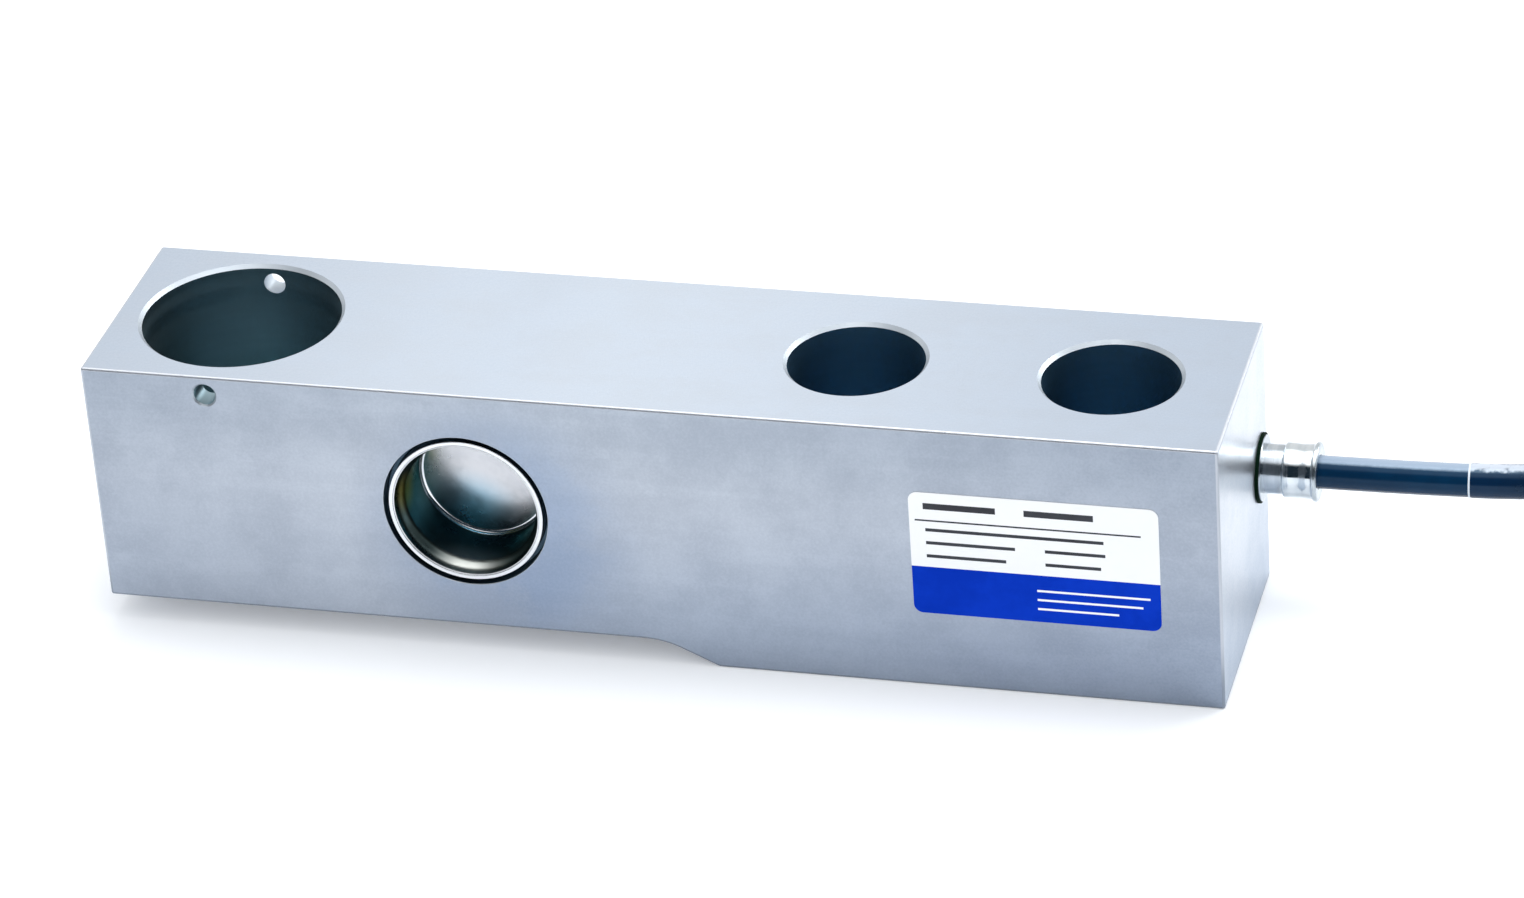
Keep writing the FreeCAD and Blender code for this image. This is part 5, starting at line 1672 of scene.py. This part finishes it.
@dataclass
class Label:
    """Film label with a white field, a coloured field, a thin rule and plain bars."""

    left: float = 40.05
    right: float = 76.85
    low: float = 12.7
    high: float = 33.3
    corner: float = 1.4
    face: float = -BEAM_WIDTH / 2
    film: float = 0.12
    field_top: float = 20.7
    dark_bars: tuple = (
        (40.9, 28.46, 74.2, 28.74),
        (42.2, 30.5, 52.9, 31.55), (57.1, 30.5, 67.3, 31.55),
        (42.4, 26.75, 68.7, 27.3),
        (42.4, 24.55, 55.6, 25.1), (60.0, 24.55, 68.9, 25.1),
        (42.4, 22.3, 54.2, 22.85), (60.0, 22.3, 68.2, 22.85))
    pale_bars: tuple = (
        (58.6, 17.85, 75.3, 18.2), (58.6, 16.3, 74.2, 16.65), (58.6, 14.75, 70.6, 15.1))

    def outline(self) -> np.ndarray:
        """Rectangle with round corners, counter-clockwise in X and Z."""
        r = self.corner
        centres = (
            ((self.left + r, self.low + r), 180.0), ((self.right - r, self.low + r), 270.0),
            ((self.right - r, self.high - r), 0.0), ((self.left + r, self.high - r), 90.0))
        return np.concatenate([arc(c, r, a, a + 90.0, 8) for c, a in centres])

    def make(self, materials: Sequence[bpy.types.Material]) -> bpy.types.Object:
        """Make the film: its printed front cut into fields, its edge and its back.

        Args:
            materials: white film, coloured field and dark print.

        Returns:
            The label.
        """
        front = self.face - self.film
        outline = self.outline()
        lower = outline[outline[:, 1] < self.field_top]
        upper = outline[outline[:, 1] > self.field_top]
        left, right = (self.left, self.field_top), (self.right, self.field_top)
        lower_loop = np.vstack([lower, [right], [left]])
        upper_loop = np.vstack([[right], upper, [left]])
        dark, pale = ([
            np.array([(x0, z0), (x1, z0), (x1, z1), (x0, z1)]) for x0, z0, x1, z1 in bars
        ] for bars in (self.dark_bars, self.pale_bars))
        white, blue, ink = range(3)
        skin = Skin("film_label")
        flat_face(skin, blue, Axis.Y, front, -1.0, lower_loop, pale)
        flat_face(skin, white, Axis.Y, front, -1.0, upper_loop, dark)
        for slot, bars in ((ink, dark), (white, pale)):
            for bar in bars:
                flat_face(skin, slot, Axis.Y, front, -1.0, bar)
        whole = np.vstack([lower, [right], upper, [left]])
        flat_face(skin, white, Axis.Y, self.face, 1.0, whole)
        edge = np.vstack([whole, whole[:1]])
        step = np.gradient(edge, axis=0)
        out = np.column_stack([step[:, 1], -step[:, 0]])
        out /= np.maximum(np.linalg.norm(out, axis=1, keepdims=True), 1e-9)
        rows = np.stack([
            around(Axis.Y, ORIGIN, edge, np.full(len(edge), y)) for y in (front, self.face)])
        facing = around(Axis.Y, ORIGIN, np.stack([out, out]), np.zeros((2, len(edge))))
        skin.grid(rows, facing, white)
        return skin.build(materials)


# The studio

@dataclass(frozen=True)
class Studio:
    """Camera at the photograph's viewing angle, plain pale floor and soft light."""

    lens: float = 142.34
    sensor: float = 36.0
    place: tuple[float, float, float] = (229.38, -737.45, 486.29)
    forward: tuple[float, float, float] = (-0.241458, 0.823665, -0.513102)
    roll: float = -0.07407
    floor_size: float = 6.0
    floor_tone: Colour = (0.86, 0.88, 0.91)
    glow: float = 0.20
    overhead: float = 1.8
    overhead_from: tuple[float, float] = (0.76, 0.90)
    sky: float = 0.86
    even_tone: Colour = (0.96, 0.98, 1.0)
    band_tone: Colour = (0.010, 0.022, 0.034)
    band_ahead: tuple[float, float] = (0.05, 0.40)
    band_top: tuple[float, float] = (0.70, 0.86)
    lamps: tuple = (
        ("lamp_over", (0.1, 0.2, 1.3), (0.0, 0.0, 0.0), 0.6, 7.0),
        ("lamp_right", (0.9, 0.8, 0.6), (0.10, 0.05, 0.0), 0.6, 4.0))

    def camera(self) -> bpy.types.Object:
        """Make the camera from its place, its view direction and its roll about that direction."""
        data = bpy.data.cameras.new("camera")
        data.lens, data.sensor_width, data.clip_end = self.lens, self.sensor, 50.0
        forward = Vector(self.forward).normalized()
        level = forward.cross(Vector((0.0, 0.0, 1.0))).normalized()
        upright = level.cross(forward)
        right = math.cos(self.roll) * level + math.sin(self.roll) * upright
        up = math.cos(self.roll) * upright - math.sin(self.roll) * level
        turn = Matrix((right, up, -forward)).transposed().to_4x4()
        camera = bpy.data.objects.new("camera", data)
        camera.matrix_world = Matrix.Translation(Vector(self.place) * MM) @ turn
        bpy.context.scene.collection.objects.link(camera)
        bpy.context.scene.camera = camera
        return camera

    def floor(self) -> bpy.types.Object:
        """Make the floor. To the camera or through glass it glows up to white, and it keeps its shadow."""
        half = self.floor_size / 2
        mesh = bpy.data.meshes.new("floor")
        mesh.from_pydata([(-half, -half, 0), (half, -half, 0), (half, half, 0), (-half, half, 0)],
                         [], [(0, 1, 2, 3)])
        material = bpy.data.materials.new("studio_floor")
        material.use_nodes = True
        graph = Graph(material.node_tree)
        paint = graph.node("BsdfDiffuse", {"Color": (*self.floor_tone, 1.0)})
        glow = graph.node("Emission", {"Color": (1.0, 1.0, 1.0, 1.0), "Strength": self.glow})
        lifted = graph.node("AddShader", {0: paint.outputs[0], 1: glow.outputs[0]})
        path = graph.node("LightPath", {}).outputs
        seen = graph.math("MAXIMUM", path["Is Camera Ray"], path["Is Transmission Ray"])
        mixed = graph.node("MixShader", {0: seen, 1: paint.outputs[0], 2: lifted.outputs[0]})
        graph.node("OutputMaterial", {"Surface": mixed.outputs[0]})
        mesh.materials.append(material)
        floor = bpy.data.objects.new("studio_floor", mesh)
        bpy.context.scene.collection.objects.link(floor)
        return floor

    def world(self) -> None:
        """Light from all sides. Mirrors also see a bright field overhead and a dark band in front."""
        world = bpy.data.worlds.new("studio")
        bpy.context.scene.world = world
        world.use_nodes = True
        graph = Graph(world.node_tree)
        way = graph.node("SeparateXYZ", {0: graph.node("TexCoord", {}).outputs["Generated"]}).outputs
        ahead = graph.remap(graph.math("MULTIPLY", way[1], -1.0), *self.band_ahead, 0.0, 1.0)
        below_lamps = graph.remap(way[2], *self.band_top, 1.0, 0.0)
        band = graph.math("MULTIPLY", ahead, below_lamps)
        sky = graph.blend(band, (1.0, 1.0, 1.0), self.band_tone)
        overhead = graph.remap(way[2], *self.overhead_from, self.sky, self.overhead)
        mirrored = graph.node("Background", {"Color": sky, "Strength": overhead})
        even = graph.node("Background", {"Color": (*self.even_tone, 1.0), "Strength": 1.0})
        white = graph.node("Background", {"Color": (1.0, 1.0, 1.0, 1.0), "Strength": 1.0})
        path = graph.node("LightPath", {}).outputs
        lit = graph.node(
            "MixShader", {0: path["Is Glossy Ray"], 1: even.outputs[0], 2: mirrored.outputs[0]})
        mixed = graph.node(
            "MixShader", {0: path["Is Camera Ray"], 1: lit.outputs[0], 2: white.outputs[0]})
        graph.node("OutputWorld", {"Surface": mixed.outputs[0]})

    @staticmethod
    def lamp(name: str, place: Sequence[float], target: Sequence[float], size: float, power: float) -> None:
        """Add a soft square lamp.

        Args:
            name: the lamp's name.
            place: where it stands, in metres.
            target: the point that it faces.
            size: its side in metres.
            power: its power in watts.
        """
        data = bpy.data.lights.new(name, "AREA")
        data.shape, data.size, data.energy = "SQUARE", size, power
        lamp = bpy.data.objects.new(name, data)
        lamp.location = place
        lamp.rotation_euler = (Vector(target) - Vector(place)).to_track_quat("-Z", "Y").to_euler()
        bpy.context.scene.collection.objects.link(lamp)

    def lights(self) -> None:
        """Add the lamps over the object."""
        for lamp in self.lamps:
            self.lamp(*lamp)


# Dressing

Finishes = dict[str, bpy.types.Material]

CORE_SLOTS = {
    "red_core": "red_insulation", "black_core": "black_insulation", "screen_tail": "tinned_wire",
    "green_core": "green_insulation", "white_core": "white_insulation"}

INNER_NODES = {
    "front_gauge_carrier": "polyimide_film", "rear_gauge_carrier": "polyimide_film",
    "front_gauge_grid": "gauge_foil", "rear_gauge_grid": "gauge_foil",
    "front_gauge_leads": "bare_copper", "rear_gauge_leads": "bare_copper",
    "front_solder_terminals": "solder", "rear_solder_terminals": "solder",
    "compensation_board": "board_laminate", "trim_resistors": "chip_ceramic",
    "web_sleeve": "clear_sleeve", "bridge_wires": "link_wire", "board_links": "link_wire",
    "cable_cores": "white_insulation", "cable_bush": "black_rubber"}


def bar_steels() -> tuple:
    """Finishes of the bar's outer faces, its edges and its bolt holes."""
    no_change: Colour = (1.0, 1.0, 1.0)
    return (
        GroundSteel(),
        # Lighter copy of the ground steel for the end face, painted light, darker at its foot, painted
        # shade.
        GroundSteel(
            "milled_end", (0.78, 0.80, 0.84), (0.66, 0.71, 0.77), smooth=0.28, rough=0.36, streaks=0.1,
            depth=8e-6, foot=(0.70, 0.76, 0.83), foot_height=0.030, upper=no_change, end_shade=no_change),
        # Lighter, bluer copy of the ground steel for the top face: painted light.
        GroundSteel("ground_top", (0.71, 0.78, 0.87), (0.61, 0.68, 0.77), upper=no_change),
        HonedHole(),
        BrokenEdge())


def turned_steels() -> tuple:
    """Finishes of the bores, the gauge pockets, the sealing cups, the gland and the ferrule."""
    pocket, load, gland = (POCKET[0], 0.0, POCKET[1]), (LOAD_X, 0.0, 0.0), (0.0, *GLAND)
    return (
        # Dark teal base: painted shade in the load bore; its spot darkens the deep middle, painted shade.
        TurnedSteel("bored_steel", (0.30, 0.41, 0.46), (0.28, 0.39, 0.44), load, Axis.Z, 0.30, 0.38,
                    depth=1e-6, stain=0.1, spots=(((-66.0, 15.0, 16.0), 19.0, (0.13, 0.25, 0.25)),)),
        TurnedSteel("bright_mouth", (0.62, 0.68, 0.74), (0.56, 0.62, 0.68), load, Axis.Z, 0.42, 0.5),
        # Dark base: painted shade in the groove round the cup.
        TurnedSteel("trepanned_groove", (0.16, 0.23, 0.29), (0.08, 0.13, 0.18), pocket, Axis.Y, 0.3, 0.45),
        TurnedSteel("weld_bead", (0.98, 0.99, 1.0), (0.93, 0.95, 0.97), pocket, Axis.Y, 0.34, 0.44,
                    pitch=0.00045, depth=2e-6, stain=0.7),
        # Dark base: painted shade on the cup's wall; the olive spot is a heat tint.
        TurnedSteel("drawn_wall", (0.085, 0.125, 0.125), (0.06, 0.09, 0.09), pocket, Axis.Y, 0.26, 0.36,
                    pitch=0.0012, depth=3e-6, stain=0.5, sheen=(0.30, 0.42, 0.42),
                    spots=(((-37.9, -15.5, 25.5), 5.0, (0.34, 0.30, 0.08)),
                           # Painted highlight: a pale band low on the wall near the rim.
                           ((-28.2, -19.4, 11.6), 8.5, (0.86, 0.88, 0.84)))),
        TurnedSteel("drawn_floor", (0.73, 0.73, 0.75), (0.63, 0.64, 0.67), pocket, Axis.Y, 0.20, 0.28,
                    pitch=0.0014, depth=4e-6, stain=0.7, sheen=(0.92, 0.95, 1.0),
                    # Painted reflection: a blue crescent where the floor mirrors the dark wall.
                    spots=(((-31.0, -8.0, 15.2), 10.5, (0.18, 0.70, 1.0)),)),
        # Lighter copy of the drawn steel at the floor's edge: painted highlight.
        TurnedSteel("bright_corner", (0.95, 0.97, 1.0), (0.88, 0.91, 0.95), pocket, Axis.Y, 0.12, 0.18,
                    pitch=0.0012, depth=2e-6, stain=0.5),
        TurnedSteel("turned_gland_steel", (0.68, 0.73, 0.77), (0.48, 0.53, 0.58), gland, Axis.X, 0.10, 0.18,
                    stain=0.25),
        TurnedSteel("bright_ferrule", (0.78, 0.83, 0.86), (0.64, 0.70, 0.74), gland, Axis.X, 0.07, 0.14,
                    stain=0.3),
        TurnedSteel("worn_lip", (0.72, 0.77, 0.80), (0.50, 0.56, 0.60), gland, Axis.X, 0.16, 0.28))


def cord_finishes() -> tuple:
    """Finishes of the rubber parts, the cable, its sleeve and its tie."""
    sheen: Colour = (0.55, 0.80, 1.0)
    return (
        Moulded("black_rubber", (0.003, 0.016, 0.008), (0.002, 0.010, 0.005), 0.5, 0.65,
                surface=Surface(specular=0.05, ior=1.3)),
        # Painted highlight along the top of the cable and of the sleeve.
        Moulded("cable_jacket", (0.002, 0.028, 0.076), (0.001, 0.020, 0.058), 0.12, 0.20,
                grain=2400.0, depth=4e-6, cloud=60.0, surface=Surface(specular=0.3, tint=sheen),
                top_highlight=(0.33, 0.41, 0.52), top_highlight_from=(0.85, 0.97, 0.05)),
        Moulded("shrink_tube", (0.002, 0.018, 0.055), (0.001, 0.012, 0.040), 0.16, 0.30,
                surface=Surface(specular=0.35, tint=sheen), top_highlight=(0.55, 0.60, 0.68),
                top_highlight_from=(0.86, 0.98, 0.30)),
        Moulded("pale_seam", (0.70, 0.77, 0.84), (0.58, 0.66, 0.74), 0.4, 0.5, surface=PLASTIC),
        Moulded("tie_band", (0.030, 0.030, 0.032), (0.018, 0.018, 0.020), 0.4, 0.55, surface=PLASTIC))


def label_finishes() -> tuple:
    """Finishes of the label's white film, its blue field and its dark print."""
    film = {"smooth": 0.5, "rough": 0.6, "grain": 1500.0, "depth": 2e-6, "cloud": 120.0}
    return (
        Moulded("label_film", (0.95, 0.96, 0.97), (0.93, 0.945, 0.96), **film,
                surface=Surface(specular=0.12)),
        Moulded("label_blue", (0.002, 0.040, 0.52), (0.001, 0.032, 0.44), **film,
                surface=Surface(specular=0.03)),
        Moulded("label_rule", (0.030, 0.035, 0.045), (0.020, 0.022, 0.030), 0.4, 0.5, surface=PLASTIC))


def inner_finishes() -> tuple:
    """Finishes of the gauges, the board and the wires."""
    glossy = Surface(specular=0.5, coat=0.3)
    insulation = (
        ("red_insulation", (0.55, 0.025, 0.020), (0.42, 0.015, 0.012)),
        ("black_insulation", (0.022, 0.022, 0.024), (0.012, 0.012, 0.014)),
        ("green_insulation", (0.02, 0.28, 0.07), (0.012, 0.20, 0.05)),
        ("white_insulation", (0.82, 0.82, 0.80), (0.72, 0.72, 0.70)))
    return (
        Moulded("polyimide_film", (0.62, 0.34, 0.06), (0.48, 0.24, 0.04), 0.2, 0.3,
                surface=Surface(specular=0.6, coat=0.4)),
        Moulded("gauge_foil", (0.78, 0.70, 0.58), (0.62, 0.54, 0.44), 0.25, 0.4,
                grain=5200.0, depth=1e-6, cloud=400.0, surface=METAL),
        Moulded("bare_copper", (0.92, 0.52, 0.34), (0.66, 0.32, 0.20), 0.25, 0.42,
                grain=4200.0, depth=1e-6, cloud=600.0, surface=METAL),
        Moulded("solder", (0.82, 0.83, 0.84), (0.58, 0.60, 0.62), 0.22, 0.45,
                grain=3600.0, depth=4e-6, cloud=900.0, surface=METAL),
        Moulded("board_laminate", (0.06, 0.24, 0.10), (0.035, 0.16, 0.065), 0.3, 0.45,
                grain=2600.0, depth=5e-6, cloud=500.0, surface=glossy),
        Moulded("chip_ceramic", (0.08, 0.08, 0.09), (0.04, 0.04, 0.045), 0.4, 0.6,
                grain=5000.0, depth=4e-6, cloud=900.0, surface=PLASTIC),
        Moulded("clear_sleeve", (0.86, 0.86, 0.82), (0.74, 0.74, 0.70), 0.2, 0.3, surface=glossy),
        Moulded("link_wire", (0.55, 0.10, 0.07), (0.42, 0.06, 0.05), 0.35, 0.5, surface=PLASTIC),
        Moulded("tinned_wire", (0.80, 0.81, 0.82), (0.56, 0.58, 0.60), 0.25, 0.42,
                grain=4200.0, depth=3e-6, cloud=700.0, surface=METAL),
        *(Moulded(name, light, shade, 0.3, 0.42, surface=PLASTIC) for name, light, shade in insulation))


def finishes(dresser: Dresser) -> Finishes:
    """Make every material of the load cell.

    Args:
        dresser: maker of materials.

    Returns:
        The materials by name.
    """
    kinds = (*bar_steels(), *turned_steels(), *cord_finishes(), *label_finishes(), *inner_finishes())
    return {kind.name: kind.make(dresser) for kind in kinds}


def stand_for(piece: bpy.types.Object, slot: str, *nodes: str) -> bpy.types.Object:
    """Let a piece replace CAD nodes by hiding them.

    Args:
        piece: the finished piece.
        slot: the record's material slot; not used.
        nodes: the CAD nodes that it stands for.

    Returns:
        The same piece.
    """
    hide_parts(*nodes)
    log.info("%s stands for %s", piece.name, ", ".join(nodes))
    return piece


def dress_cable(finish: Finishes) -> None:
    """Make the cable with its sleeve, its tie and its free cores.

    Args:
        finish: the materials by name.
    """
    cable = Cable()
    cord = stand_for(cable.make(finish["cable_jacket"]), "cable_jacket", "cable_lead", "cable_hank")
    line = line_of(cord)
    sleeve = stand_for(
        ShrinkSleeve().make(line, cable.diameter / 2, [finish["shrink_tube"], finish["pale_seam"]]),
        "shrink_tube", "shrink_sleeve")
    tie = stand_for(HankTie().make(finish["tie_band"]), "tie_band", "hank_tie")
    cores = FreeCores()
    wires = cores.make({name: finish[slot] for name, slot in CORE_SLOTS.items()}, finish["tinned_wire"])
    for name, slot in CORE_SLOTS.items():
        stand_for(wires[name], slot, name)
        [float(v) for v in cores.route(name)[0] * MM]
    tips = stand_for(wires["tips"], "tinned_wire", "tinned_tips")


def dress_entry(finish: Finishes) -> None:
    """Make the gland, the ferrule and the sealing ring.

    Args:
        finish: the materials by name.
    """
    entry = CableEntry()
    stand_for(entry.gland(finish["turned_gland_steel"]), "turned_steel", "gland_body")
    stand_for(
        entry.crimped(finish["bright_ferrule"], finish["worn_lip"]), "bright_ferrule", "crimp_ferrule")
    stand_for(entry.sealing_ring(finish["black_rubber"]), "black_rubber", "sealing_ring")


def dress_beam(finish: Finishes) -> None:
    """Make the bar, its two sealing cups and its label.

    Args:
        finish: the materials by name.
    """
    beam = Beam().make([finish[name] for name in (
        "ground_steel", "broken_edge", "bored_steel", "bright_mouth", "trepanned_groove", "honed_hole",
        "milled_end", "ground_top")])
    stand_for(beam, "stainless_beam", "beam_body")
    for name, side in (("front", -1.0), ("rear", 1.0)):
        cup = SealingCup(f"{name}_drawn_cup", side).make(
            [finish[kind] for kind in ("weld_bead", "drawn_wall", "bright_corner", "drawn_floor")])
        stand_for(cup, "drawn_steel", f"{name}_sealing_cup")
    label = Label().make([finish[name] for name in ("label_film", "label_blue", "label_rule")])
    stand_for(label, "label_film", "front_label")


def dress_inside(finish: Finishes) -> None:
    """Give the pieces inside the beam their finishes.

    Args:
        finish: the materials by name.
    """
    for node, name in INNER_NODES.items():
        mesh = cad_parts[node].data
        mesh.materials.clear()
        mesh.materials.append(finish[name])
        log.info("%s wears %s", node, name)


def main() -> None:
    """Build the load cell's visible pieces around the frame and set up the studio."""
    logging.basicConfig(level=logging.INFO, format="%(name)s: %(message)s")
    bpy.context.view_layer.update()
    bpy.context.scene.view_settings.view_transform = "Standard"
    studio = Studio()
    studio.camera()
    finish = finishes(Dresser())

    # The cords come first after the camera.
    for dress in (dress_cable, dress_entry, dress_beam, dress_inside):
        dress(finish)

    studio.floor()
    studio.world()
    studio.lights()
    bpy.context.view_layer.update()


if __name__ == "__main__":
    main()
